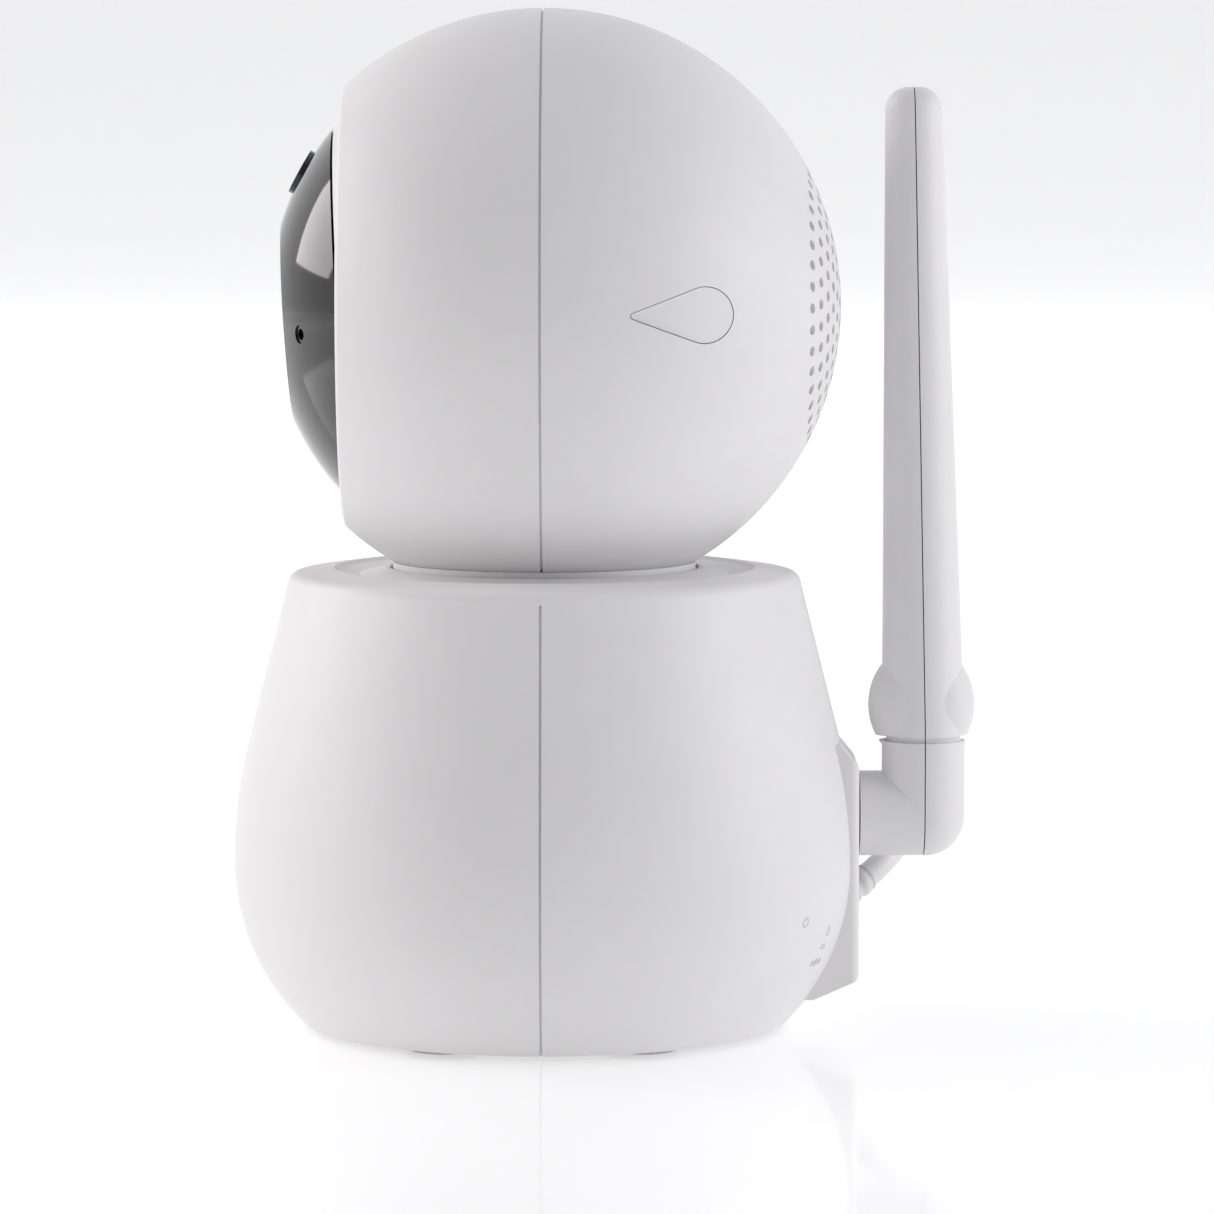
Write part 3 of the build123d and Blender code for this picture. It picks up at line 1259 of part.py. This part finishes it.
def usb_plug_body():
    wide, long, high = USB_BODY
    body = Pos(0, USB_RELIEF_LONG + long / 2, 0) * Box(wide, long, high)
    body = fillet(body.edges().filter_by(Axis.Y), 2.2)
    return usb_frame(body + rod(USB_RELIEF_R, (0, 0, 0), (0, USB_RELIEF_LONG + 1, 0)))


def usb_plug_shell():
    wide, long, high = USB_SHELL
    start = USB_RELIEF_LONG + USB_BODY[1]
    shell = Pos(0, start + long / 2, 0) * (Box(wide, long, high) - Box(wide - 0.6, long + 1, high - 0.6))
    tongue = Pos(0, start + long / 2 - 0.5, -0.9) * Box(wide - 1.4, long - 1, 1.8)
    return usb_frame(shell + Pos(0, start + 0.3, 0) * Box(wide, 0.6, high) + tongue)


# ---------------------------------------------------------------------- export
PIECES = {
    "base_front_shell": lambda: base_shell(-1),
    "base_rear_shell": base_rear_shell,
    "base_cover": base_cover,
    "foot_pads": foot_pads,
    "cover_screws": cover_screws,
    "base_deck": base_deck,
    "deck_screws": deck_screws,
    "pan_bush": pan_bush,
    "pan_motor": pan_motor,
    "motor_bracket": motor_bracket,
    "main_board": main_board,
    "small_screws": small_screws,
    "board_chips": board_chips,
    "rf_shield": rf_shield,
    "power_jack": power_jack,
    "pair_button": pair_button,
    "pan_neck": pan_neck,
    "neck_screws": neck_screws,
    "neck_clip": neck_clip,
    "pan_gear": pan_gear,
    "pan_pinion": pan_pinion,
    "head_front_shell": head_front_shell,
    "head_rear_shell": head_rear_shell,
    "side_pad_right": lambda: side_pad(1),
    "side_pad_left": lambda: side_pad(-1),
    "head_screws": head_screws,
    "speaker": speaker,
    "speaker_gasket": speaker_gasket,
    "tilt_frame": tilt_frame,
    "tilt_motor": tilt_motor,
    "tilt_pinion": tilt_pinion,
    "tilt_pins": tilt_pins,
    "eye_shell": eye_shell,
    "eye_carrier": eye_carrier,
    "eye_screws": eye_screws,
    "face_cover": face_cover,
    "lens_window": lens_window,
    "lens_barrel": lens_barrel,
    "lens_glass": lens_glass,
    "lens_holder": lens_holder,
    "sensor_board": sensor_board,
    "ir_board": ir_board,
    "ir_leds": ir_leds,
    "light_sensor": light_sensor,
    "microphone": microphone,
    "tilt_sector": tilt_sector,
    "antenna_elbow": antenna_elbow,
    "antenna_elbow_cover": antenna_elbow_cover,
    "antenna_mast_front": lambda: mast_half(-1),
    "antenna_mast_rear": lambda: mast_half(1),
    "antenna_element": antenna_element,
    "antenna_clip": antenna_clip,
    "power_plug": power_plug,
    "power_cord": lambda: cord_tube(ROUTE),
    "cord_coil": cord_coil,
    "cord_tail": lambda: cord_tube(TAIL),
    "cord_tie": cord_tie,
    "usb_plug_body": usb_plug_body,
    "usb_plug_shell": usb_plug_shell,
}

os.makedirs("parts", exist_ok=True)
for name, make in PIECES.items():
    export_step(make(), f"parts/{name}.step")
print("pieces", len(PIECES), "head centre at z", round(HEAD_Z, 2))
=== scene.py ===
import json
import math

import bmesh
import bpy
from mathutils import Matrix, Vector


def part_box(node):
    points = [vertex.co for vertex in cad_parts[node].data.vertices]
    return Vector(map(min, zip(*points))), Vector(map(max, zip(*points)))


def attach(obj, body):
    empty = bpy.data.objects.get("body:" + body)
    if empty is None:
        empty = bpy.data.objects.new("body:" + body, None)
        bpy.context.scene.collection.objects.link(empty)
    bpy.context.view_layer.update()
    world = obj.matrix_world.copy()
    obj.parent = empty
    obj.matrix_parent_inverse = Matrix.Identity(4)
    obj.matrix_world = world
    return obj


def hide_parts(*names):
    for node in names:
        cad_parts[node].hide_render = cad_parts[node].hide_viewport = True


# A pan and tilt baby monitor camera, in metres, +Z up. It faces -Y, and the aerial and
# the power lead are at the back, +Y. The photograph looks along -X.

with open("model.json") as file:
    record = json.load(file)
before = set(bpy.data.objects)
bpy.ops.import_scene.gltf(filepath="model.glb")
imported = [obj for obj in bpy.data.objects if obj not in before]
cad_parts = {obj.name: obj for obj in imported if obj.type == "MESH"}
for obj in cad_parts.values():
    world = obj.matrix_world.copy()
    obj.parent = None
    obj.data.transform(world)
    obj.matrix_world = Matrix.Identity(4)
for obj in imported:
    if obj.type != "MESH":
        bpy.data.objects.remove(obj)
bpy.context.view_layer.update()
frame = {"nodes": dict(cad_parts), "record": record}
nodes = frame["nodes"]
scene = bpy.context.scene
MM = 0.001


# ------------------------------------------------------------------- the camera
def aim(thing, at):
    """Turn a camera or a light to face a point."""
    way = Vector(at) - thing.location
    thing.rotation_euler = way.to_track_quat("-Z", "Y").to_euler()


PHOTO_FROM = (0.8, 0.0088, 0.130)
PHOTO_AT = (0.0, 0.0088, 0.059)
PHOTO_LENS = 169.0      # mm, on a sensor 36 mm wide


def add_camera():
    """The photograph's view: square on to the object's side, from a little above."""
    data = bpy.data.cameras.new("photo_camera")
    data.lens, data.sensor_width = PHOTO_LENS, 36.0
    data.clip_start, data.clip_end = 0.01, 50.0
    camera = bpy.data.objects.new("photo_camera", data)
    scene.collection.objects.link(camera)
    camera.location = PHOTO_FROM
    aim(camera, PHOTO_AT)
    scene.camera = camera


add_camera()


# --------------------------------------------------------------------- materials
def new_material(name):
    """A material with its shader, and object coordinates in metres."""
    made = bpy.data.materials.new(name)
    made.use_nodes = True
    tree = made.node_tree
    shader = tree.nodes["Principled BSDF"]
    coords = tree.nodes.new("ShaderNodeTexCoord")
    return made, tree, shader, coords.outputs["Object"]


def noise(tree, coords, scale, detail=4.0, rough=0.55, stretch=None):
    """Noise whose scale is in cells per metre."""
    if stretch:
        mapping = tree.nodes.new("ShaderNodeMapping")
        mapping.inputs["Scale"].default_value = stretch
        tree.links.new(coords, mapping.inputs["Vector"])
        coords = mapping.outputs["Vector"]
    node = tree.nodes.new("ShaderNodeTexNoise")
    node.inputs["Scale"].default_value = scale
    node.inputs["Detail"].default_value = detail
    node.inputs["Roughness"].default_value = rough
    tree.links.new(coords, node.inputs["Vector"])
    return node.outputs["Fac"]


def ramp(tree, value, low, high, first, last):
    """Carry a value between two stops to between two colours."""
    node = tree.nodes.new("ShaderNodeValToRGB")
    node.color_ramp.elements[0].position = low
    node.color_ramp.elements[1].position = high
    node.color_ramp.elements[0].color = (*first, 1.0)
    node.color_ramp.elements[1].color = (*last, 1.0)
    tree.links.new(value, node.inputs["Fac"])
    return node.outputs["Color"]


def spread(tree, value, low, high):
    """Carry noise to a range of roughness."""
    node = tree.nodes.new("ShaderNodeMapRange")
    node.inputs["From Min"].default_value = 0.3
    node.inputs["From Max"].default_value = 0.7
    node.inputs["To Min"].default_value = low
    node.inputs["To Max"].default_value = high
    tree.links.new(value, node.inputs["Value"])
    return node.outputs["Result"]


def bump(tree, height, strength, distance, under=None):
    """A normal raised by a height, laid over another normal if one is given."""
    node = tree.nodes.new("ShaderNodeBump")
    node.inputs["Strength"].default_value = strength
    node.inputs["Distance"].default_value = distance
    tree.links.new(height, node.inputs["Height"])
    if under:
        tree.links.new(under, node.inputs["Normal"])
    return node.outputs["Normal"]


def moulded(name, dark, light, rough, grain=4200.0, depth=0.25, sockets=None, mottle=38.0):
    """Moulded plastic or rubber: a spark-eroded grain over slow flow marks, with faint
    variation in its colour and sheen."""
    made, tree, shader, coords = new_material(name)
    flow = noise(tree, coords, mottle, 3.0)
    fine = noise(tree, coords, grain, 2.0)
    handled = noise(tree, coords, 260.0, 5.0, 0.6)
    colour = ramp(tree, flow, 0.35, 0.65, dark, light)
    tree.links.new(colour, shader.inputs["Base Color"])
    tree.links.new(spread(tree, handled, *rough), shader.inputs["Roughness"])
    normal = bump(tree, fine, depth, 0.00004)
    normal = bump(tree, flow, 0.05, 0.0004, normal)
    tree.links.new(normal, shader.inputs["Normal"])
    for socket, value in (sockets or {}).items():
        shader.inputs[socket].default_value = value
    return made


def brushed(name, dark, light, rough, stretch, scale=900.0):
    """Metal with fine drawn lines and a few darker stains."""
    made, tree, shader, coords = new_material(name)
    lines = noise(tree, coords, scale, 5.0, 0.65, stretch)
    stains = noise(tree, coords, 150.0, 4.0)
    tree.links.new(ramp(tree, stains, 0.35, 0.7, dark, light), shader.inputs["Base Color"])
    tree.links.new(spread(tree, lines, *rough), shader.inputs["Roughness"])
    tree.links.new(bump(tree, lines, 0.2, 0.00003), shader.inputs["Normal"])
    shader.inputs["Metallic"].default_value = 1.0
    return made


def gloss_black():
    """Polished black acrylic: deep colour, a clear surface with slight waves and lint."""
    made, tree, shader, coords = new_material("black_gloss")
    wave = noise(tree, coords, 55.0, 1.5)
    dust = noise(tree, coords, 2600.0, 2.0, 0.4)
    smear = noise(tree, coords, 120.0, 5.0, 0.62, (1.0, 0.35, 1.0))
    colour = ramp(tree, dust, 0.70, 0.80, (0.0045, 0.0042, 0.0050), (0.016, 0.015, 0.017))
    tree.links.new(colour, shader.inputs["Base Color"])
    tree.links.new(spread(tree, smear, 0.035, 0.085), shader.inputs["Roughness"])
    tree.links.new(bump(tree, wave, 0.04, 0.0006), shader.inputs["Normal"])
    shader.inputs["IOR"].default_value = 1.49
    shader.inputs["Coat Weight"].default_value = 0.35
    shader.inputs["Coat Roughness"].default_value = 0.02
    return made


def tinted_glass(name, tint, rough, ior=1.5, film=0.0):
    """Clear or tinted optical plastic with a trace of dust."""
    made, tree, shader, coords = new_material(name)
    dust = noise(tree, coords, 1900.0, 2.0, 0.4)
    smear = noise(tree, coords, 220.0, 5.0)
    deep = tuple(0.8 * c for c in tint)
    tree.links.new(ramp(tree, dust, 0.45, 0.8, tint, deep), shader.inputs["Base Color"])
    tree.links.new(spread(tree, smear, rough, 3 * rough), shader.inputs["Roughness"])
    shader.inputs["Transmission Weight"].default_value = 0.92
    shader.inputs["IOR"].default_value = ior
    shader.inputs["Coat Weight"].default_value = film
    shader.inputs["Coat Roughness"].default_value = 0.01
    shader.inputs["Coat Tint"].default_value = (0.55, 0.62, 1.0, 1.0)
    return made


def circuit_board():
    """Green solder mask over copper tracks, with bare pads."""
    made, tree, shader, coords = new_material("board")
    tracks = tree.nodes.new("ShaderNodeTexBrick")
    tracks.inputs["Scale"].default_value = 420.0
    tracks.inputs["Mortar Size"].default_value = 0.05
    tracks.inputs["Color1"].default_value = (0.010, 0.105, 0.030, 1.0)
    tracks.inputs["Color2"].default_value = (0.012, 0.125, 0.040, 1.0)
    tracks.inputs["Mortar"].default_value = (0.030, 0.230, 0.070, 1.0)
    tree.links.new(coords, tracks.inputs["Vector"])
    pads = noise(tree, coords, 900.0, 0.0)
    blend = tree.nodes.new("ShaderNodeMix")
    blend.data_type = "RGBA"
    sharp = tree.nodes.new("ShaderNodeMapRange")
    sharp.inputs["From Min"].default_value = 0.68
    sharp.inputs["From Max"].default_value = 0.70
    tree.links.new(pads, sharp.inputs["Value"])
    tree.links.new(sharp.outputs["Result"], blend.inputs["Factor"])
    tree.links.new(tracks.outputs["Color"], blend.inputs["A"])
    blend.inputs["B"].default_value = (0.62, 0.60, 0.55, 1.0)
    tree.links.new(blend.outputs["Result"], shader.inputs["Base Color"])
    tree.links.new(spread(tree, noise(tree, coords, 300.0), 0.25, 0.42), shader.inputs["Roughness"])
    tree.links.new(bump(tree, tracks.outputs["Fac"], 0.3, 0.00004), shader.inputs["Normal"])
    return made


MATERIALS = {
    "white_plastic": moulded("white_plastic", (0.800, 0.792, 0.795), (0.826, 0.818, 0.820), (0.40, 0.52),
                             sockets={"IOR": 1.46, "Subsurface Weight": 0.06, "Subsurface Scale": 0.002}),
    "pad_plastic": moulded("pad_plastic", (0.805, 0.798, 0.800), (0.826, 0.820, 0.822), (0.48, 0.60), 5200.0),
    "grey_plastic": moulded("grey_plastic", (0.700, 0.695, 0.700), (0.740, 0.735, 0.740), (0.42, 0.55)),
    "acetal": moulded("acetal", (0.72, 0.71, 0.68), (0.78, 0.77, 0.74), (0.30, 0.42), 1800.0, 0.12,
                      {"Subsurface Weight": 0.15, "Subsurface Scale": 0.003}),
    "black_gloss": gloss_black(),
    "black_plastic": moulded("black_plastic", (0.010, 0.010, 0.011), (0.018, 0.018, 0.019), (0.38, 0.55)),
    "window": tinted_glass("window", (0.26, 0.25, 0.28), 0.012),
    "lens": tinted_glass("lens", (0.72, 0.78, 0.92), 0.006, 1.6, 1.0),
    "rubber": moulded("rubber", (0.55, 0.55, 0.56), (0.62, 0.62, 0.63), (0.70, 0.88), 3000.0, 0.5,
                      {"Sheen Weight": 0.15}),
    "screw_steel": brushed("screw_steel", (0.34, 0.34, 0.35), (0.52, 0.52, 0.53), (0.22, 0.42), (1, 1, 6)),
    "motor_steel": brushed("motor_steel", (0.44, 0.44, 0.45), (0.60, 0.60, 0.60), (0.25, 0.45), (8, 8, 0.4)),
    "board": circuit_board(),
    "chips": moulded("chips", (0.016, 0.016, 0.017), (0.028, 0.028, 0.030), (0.45, 0.62), 2500.0, 0.4),
    "led": tinted_glass("led", (0.82, 0.84, 0.90), 0.02, 1.5),
    "aerial_metal": brushed("aerial_metal", (0.62, 0.45, 0.20), (0.74, 0.56, 0.28), (0.20, 0.38),
                            (6, 6, 0.3)),
    "cord_white": moulded("cord_white", (0.770, 0.765, 0.770), (0.805, 0.800, 0.805), (0.34, 0.46), 2400.0,
                          0.18, {"Subsurface Weight": 0.08, "Subsurface Scale": 0.002, "Sheen Weight": 0.05}),
    "plug_white": moulded("plug_white", (0.760, 0.755, 0.760), (0.800, 0.795, 0.800), (0.36, 0.50), 3600.0),
    "tie": moulded("tie", (0.700, 0.700, 0.710), (0.760, 0.760, 0.770), (0.30, 0.44), 1500.0, 0.3),
    "contact_steel": brushed("contact_steel", (0.58, 0.58, 0.57), (0.74, 0.74, 0.73), (0.14, 0.30),
                             (1, 9, 1)),
    "print_grey": moulded("print_grey", (0.42, 0.42, 0.43), (0.50, 0.50, 0.51), (0.55, 0.70), 6000.0, 0.3),
}


def dress(thing, name):
    """Give an object one material in every slot."""
    slots = thing.material_slots
    if not len(slots):
        thing.data.materials.append(MATERIALS[name])
    for slot in slots:
        slot.material = MATERIALS[name]


for subpart in frame["record"]["subparts"]:
    node = subpart["node"]
    dress(nodes[node], "lens" if node == "lens_glass" else subpart["material_slot"])


# ------------------------------------------------------------------- new pieces
def piece(name, body, slot, mesh_or_curve, material=None):
    """Link a new piece, dress it, and let it ride with its body."""
    thing = bpy.data.objects.new(name, mesh_or_curve)
    scene.collection.objects.link(thing)
    dress(thing, material or slot)
    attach(thing, body)
    return thing


def mesh_from(bm, name, sharp=35.0):
    """A mesh from bmesh data, smooth but for edges sharper than an angle."""
    bmesh.ops.recalc_face_normals(bm, faces=bm.faces)
    mesh = bpy.data.meshes.new(name)
    bm.to_mesh(mesh)
    bm.free()
    for face in mesh.polygons:
        face.use_smooth = True
    mesh.set_sharp_from_angle(angle=math.radians(sharp))
    return mesh


# ---------------------------------------------------------------- the power lead
# The route is in mm: ROUTE goes from the plug to the coil, and TAIL from the coil to the USB plug.
ROUTE = [(-3.0, 36.0, 15.8), (-4.0, 41.8, 17.6), (-6.6, 46.8, 20.4), (-10.3, 50.4, 23.9), (-15.9, 53.1, 28.2),
         (-23.9, 54.7, 31.1), (-33.2, 54.0, 31.4), (-41.9, 50.9, 28.6), (-48.2, 44.9, 23.7),
         (-51.4, 36.9, 19.2), (-52.6, 28.5, 16.2), (-53.3, 20.0, 14.2), (-54.0, 11.5, 13.1),
         (-54.4, 3.5, 12.7), (-54.6, -4.0, 12.6)]
TAIL = [(-101.7, -26.7, 1.8), (-108.4, -20.5, 1.9), (-112.8, -13.0, 3.2), (-114.6, -5.5, 4.0),
        (-114.6, 0.5, 4.0)]
CORD_D = 3.6
COIL_CENTRE = (-80.8, -8.5)
COIL_OUT = 26.2         # radius of the outermost turns
PER_TURN = 18           # control points in a turn
LAYER_TURNS = 3         # turns across each layer, in or out
LAYERS = 4
DOWN_POINTS = 3         # control points in the step down to the next layer
SHORT_OF = 3            # points by which the last layer ends early


def coil_route():
    """The coil from its top layer to its lowest: in, down, out, down, in, down and out."""
    step = 2 * math.pi / PER_TURN
    made, turned, inner = [], 0.5, COIL_OUT - LAYER_TURNS * CORD_D
    for layer in range(LAYERS):
        z = CORD_D * (LAYERS - layer - 0.5)
        across = LAYER_TURNS * PER_TURN - (SHORT_OF if layer == LAYERS - 1 else 0)
        down = DOWN_POINTS if layer < LAYERS - 1 else 0
        for k in range(across + down):
            share = min(1.0, (k + 0.5) / across)
            radius = COIL_OUT - share * (COIL_OUT - inner)
            if layer % 2:
                radius = inner + share * (COIL_OUT - inner)
            drop = CORD_D * max(0.0, k + 0.5 - across) / DOWN_POINTS
            radius /= math.cos(step / 2)
            turn = -turned * step
            made.append((COIL_CENTRE[0] + radius * math.cos(turn),
                         COIL_CENTRE[1] + radius * math.sin(turn), z - drop))
            turned += 1
    return made


def add_cord():
    """The whole lead as one open spline through its route's points."""
    data = bpy.data.curves.new("power_lead", "CURVE")
    data.dimensions = "3D"
    data.bevel_depth = CORD_D * MM / 2
    data.bevel_resolution = 5
    data.use_fill_caps = True
    points = ROUTE + coil_route() + TAIL
    spline = data.splines.new("NURBS")
    spline.points.add(len(points) - 1)
    for point, place in zip(spline.points, points):
        point.co = (*[MM * value for value in place], 1.0)
    spline.order_u = 3
    spline.use_endpoint_u = True
    spline.resolution_u = 5
    cord = piece("power_lead", "base", "cord_white", data)
    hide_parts("power_cord", "cord_coil", "cord_tail")
    return cord


cord = add_cord()


def centreline(curve):
    """Points along a curve object's own line."""
    bare = curve.copy()
    bare.data = curve.data.copy()
    bare.data.bevel_depth = 0.0
    scene.collection.objects.link(bare)
    bpy.context.view_layer.update()
    mesh = bpy.data.meshes.new_from_object(bare.evaluated_get(bpy.context.evaluated_depsgraph_get()))
    made = [v.co.copy() for v in mesh.vertices]
    bpy.data.objects.remove(bare)
    bpy.data.meshes.remove(mesh)
    return made


def along(points, distance):
    """The point and direction at a distance along a line of points."""
    for here, there in zip(points, points[1:]):
        run = (there - here).length
        if distance <= run:
            return here.lerp(there, distance / run), (there - here).normalized()
        distance -= run
    return points[-1], (points[-1] - points[-2]).normalized()


def sleeve(name, points, profile, slot, sides=28):
    """A closed turned shape along a line: profile is pairs of distance and radius, in mm."""
    bm = bmesh.new()
    rings = []
    side = Vector((1.0, 0.0, 0.0))
    for distance, radius in profile:
        centre, way = along(points, distance * MM)
        side = (side - way * side.dot(way)).normalized()
        other = way.cross(side)
        rings.append([bm.verts.new(centre + radius * MM * (
            math.cos(2 * math.pi * k / sides) * side + math.sin(2 * math.pi * k / sides) * other))
            for k in range(sides)])
    for low, high in zip(rings, rings[1:]):
        for k in range(sides):
            n = (k + 1) % sides
            bm.faces.new((low[k], low[n], high[n], high[k]))
    bm.faces.new(rings[0])
    bm.faces.new(rings[-1])
    return piece(name, "base", slot, mesh_from(bm, name))


RIB_CUT = 0.84          # radius in a groove, as a share of the rib beside it
RIB_EDGE = 0.08         # rounding of a rib's edges
RELIEF_TIP = 2.15       # radius at the thin end


def ribs(length, thick, count):
    """The profile of a tapered strain relief with rings cut round it, in mm."""
    made = [(0.0, thick)]
    pitch = length / count
    for k in range(count):
        radius = thick + (RELIEF_TIP - thick) * (k + 0.5) / count
        at = k * pitch
        made += [(at + 0.06 * pitch, radius - RIB_EDGE), (at + 0.14 * pitch, radius),
                 (at + 0.58 * pitch, radius), (at + 0.66 * pitch, radius - RIB_EDGE),
                 (at + 0.72 * pitch, radius * RIB_CUT), (at + 0.94 * pitch, radius * RIB_CUT)]
    return made + [(length, RELIEF_TIP * 0.96)]


line = centreline(cord)
start_relief = sleeve("plug_strain_relief", line, ribs(11.0, 3.3, 6), "plug_white")
end_relief = sleeve("usb_strain_relief", line[::-1], ribs(12.0, 3.1, 6), "plug_white")


# --------------------------------------------------------------- printed marks
BASE_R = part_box("base_front_shell")[1][0] / MM
WAIST_Z = 23.4          # height of the base's widest ring
LOWER_ARC = 31.7        # radius of the base's side below that ring
INK_PROUD = 0.02        # how far the ink stands out of the base
INK_DEEP = 0.12         # how far it reaches in


def on_base(phi, z, out):
    """A point on the base's lower side, at an angle from +X and a height, in mm."""
    radius = BASE_R - LOWER_ARC + math.sqrt(LOWER_ARC**2 - (WAIST_Z - z) ** 2) + out
    return Vector((radius * math.cos(phi), radius * math.sin(phi), z)) * MM


def ring(u, v, radius, first=0.0, last=360.0):
    """Points round a circle in a mark's own plane."""
    count = max(6, int(abs(last - first) / 10))
    turns = [math.radians(first + (last - first) * k / count) for k in range(count + 1)]
    return [(u + radius * math.cos(t), v + radius * math.sin(t)) for t in turns]


def printed(name, phi, z, strokes, width):
    """Pad-printed lines: thin closed ribbons that follow the base's round side."""
    bm = bmesh.new()
    reach = BASE_R - LOWER_ARC + math.sqrt(LOWER_ARC**2 - (WAIST_Z - z) ** 2)
    outline = ((1, INK_PROUD), (-1, INK_PROUD), (-1, -INK_DEEP), (1, -INK_DEEP))
    for stroke in strokes:
        rings = []
        for k, (u, v) in enumerate(stroke):
            before, after = stroke[max(k - 1, 0)], stroke[min(k + 1, len(stroke) - 1)]
            if stroke[0] == stroke[-1] or (Vector(stroke[0]) - Vector(stroke[-1])).length < 0.001:
                before = stroke[k - 1] if k else stroke[-2]
                after = stroke[k + 1] if k < len(stroke) - 1 else stroke[1]
            way = Vector((after[0] - before[0], after[1] - before[1])).normalized()
            left = Vector((-way.y, way.x)) * width / 2
            rings.append([bm.verts.new(on_base(phi + (u + side * left.x) / reach, z + v + side * left.y, out))
                          for side, out in outline])
        for low, high in zip(rings, rings[1:]):
            for k in range(4):
                n = (k + 1) % 4
                bm.faces.new((low[k], low[n], high[n], high[k]))
        bm.faces.new(rings[0])
        bm.faces.new(rings[-1])
    return piece(name, "base", "white_plastic", mesh_from(bm, name), "print_grey")


printed("mark_power", math.radians(56.6), 17.6,
        [ring(0, 0, 0.62, 125, 415), [(0, 0.15), (0, 0.50), (0, 0.85)]], 0.16)
printed("mark_dc", math.radians(67.0), 13.2,
        [[(-0.9, 0.2), (0, 0.2), (0.9, 0.2)], [(-0.9, -0.2), (-0.4, -0.2)],
         [(-0.25, -0.2), (0.25, -0.2)], [(0.4, -0.2), (0.9, -0.2)]], 0.14)
printed("mark_polarity", math.radians(66.0), 11.0,
        [ring(0, 0, 0.45, 40, 320), ring(0, 0, 0.13), [(0.2, 0), (0.9, 0)], ring(1.3, 0, 0.38),
         [(1.12, 0), (1.48, 0)], [(1.3, -0.18), (1.3, 0.18)], [(-0.45, 0), (-0.9, 0)],
         ring(-1.3, 0, 0.38), [(-1.48, 0), (-1.12, 0)]], 0.12)
printed("mark_indoor", math.radians(67.5), 15.4,
        [[(-0.7, -0.1), (0, 0.6), (0.7, -0.1)], [(-0.5, 0.0), (-0.5, -0.6), (0.5, -0.6), (0.5, 0.0)]], 0.13)


# ------------------------------------------------------------ floor and lights
def add_stage():
    """A pale polished floor that turns up into a wall all round, with painted light: its colour darkens and
    its painted glow fades towards +X, so it is bright by the object and shaded away from it.
    """
    flat, bend, top, sides = 2.2, 1.2, 3.2, 128
    profile = [(0.6, 0.0), (flat, 0.0)]
    profile += [(flat + bend * math.sin(a), bend - bend * math.cos(a))
                for a in (math.radians(6 * k) for k in range(1, 16))]
    profile.append((flat + bend, top))
    bm = bmesh.new()
    centre = bm.verts.new((0, 0, 0))
    rings = [[bm.verts.new((r * math.cos(2 * math.pi * k / sides), r * math.sin(2 * math.pi * k / sides), z))
              for k in range(sides)] for r, z in profile]
    for k in range(sides):
        bm.faces.new((centre, rings[0][k], rings[0][(k + 1) % sides]))
    for low, high in zip(rings, rings[1:]):
        for k in range(sides):
            n = (k + 1) % sides
            bm.faces.new((low[k], high[k], high[n], low[n]))
    floor = bpy.data.objects.new("floor", mesh_from(bm, "floor"))
    scene.collection.objects.link(floor)
    made, tree, shader, coords = new_material("floor")
    place = tree.nodes.new("ShaderNodeSeparateXYZ")
    tree.links.new(coords, place.inputs["Vector"])
    painted_falloff = tree.nodes.new("ShaderNodeMapRange")
    painted_falloff.interpolation_type = "SMOOTHSTEP"
    painted_falloff.inputs["From Min"].default_value = 0.1
    painted_falloff.inputs["From Max"].default_value = 1.6
    tree.links.new(place.outputs["X"], painted_falloff.inputs["Value"])
    # Painted shade: the floor's colour darkens from pale to grey towards +X.
    pale = ramp(tree, painted_falloff.outputs["Result"], 0.0, 1.0, (0.80, 0.80, 0.803), (0.45, 0.45, 0.455))
    tree.links.new(pale, shader.inputs["Base Color"])
    # Painted light: the floor glows white by the object, and its glow fades towards +X.
    painted_glow = ramp(tree, painted_falloff.outputs["Result"], 0.0, 1.0, (1.0, 1.0, 1.0), (0.12, 0.12, 0.12))
    tree.links.new(painted_glow, shader.inputs["Emission Color"])
    tree.links.new(spread(tree, noise(tree, coords, 14.0), 0.07, 0.10), shader.inputs["Roughness"])
    shader.inputs["Emission Strength"].default_value = 0.31
    shader.inputs["IOR"].default_value = 1.38
    floor.data.materials.append(made)


def add_light(name, place, at, size, power, colour):
    """A soft box that the camera doesn't see."""
    data = bpy.data.lights.new(name, "AREA")
    data.shape = "RECTANGLE"
    data.size, data.size_y = size
    data.energy = power
    data.color = colour
    light = bpy.data.objects.new(name, data)
    scene.collection.objects.link(light)
    light.location = place
    light.visible_camera = False
    aim(light, at)


def add_world():
    """A plain pale surrounding light."""
    world = bpy.data.worlds.new("studio")
    scene.world = world
    world.use_nodes = True
    back = world.node_tree.nodes["Background"]
    back.inputs["Color"].default_value = (0.97, 0.98, 1.0, 1.0)
    back.inputs["Strength"].default_value = 0.60


add_stage()
add_world()
add_light("softbox_front", (0.30, -1.35, 0.45), (0, 0, 0.07), (0.8, 0.9), 4.8, (1.0, 0.940, 0.945))
add_light("softbox_rear", (0.30, 1.35, 0.45), (0, 0, 0.07), (0.8, 0.9), 7.2, (0.975, 0.965, 1.0))
add_light("softbox_side", (-0.55, -1.20, 0.60), (0, -0.04, 0.10), (0.7, 0.7), 5.0, (1.0, 0.945, 0.955))
scene.view_settings.view_transform = "Standard"
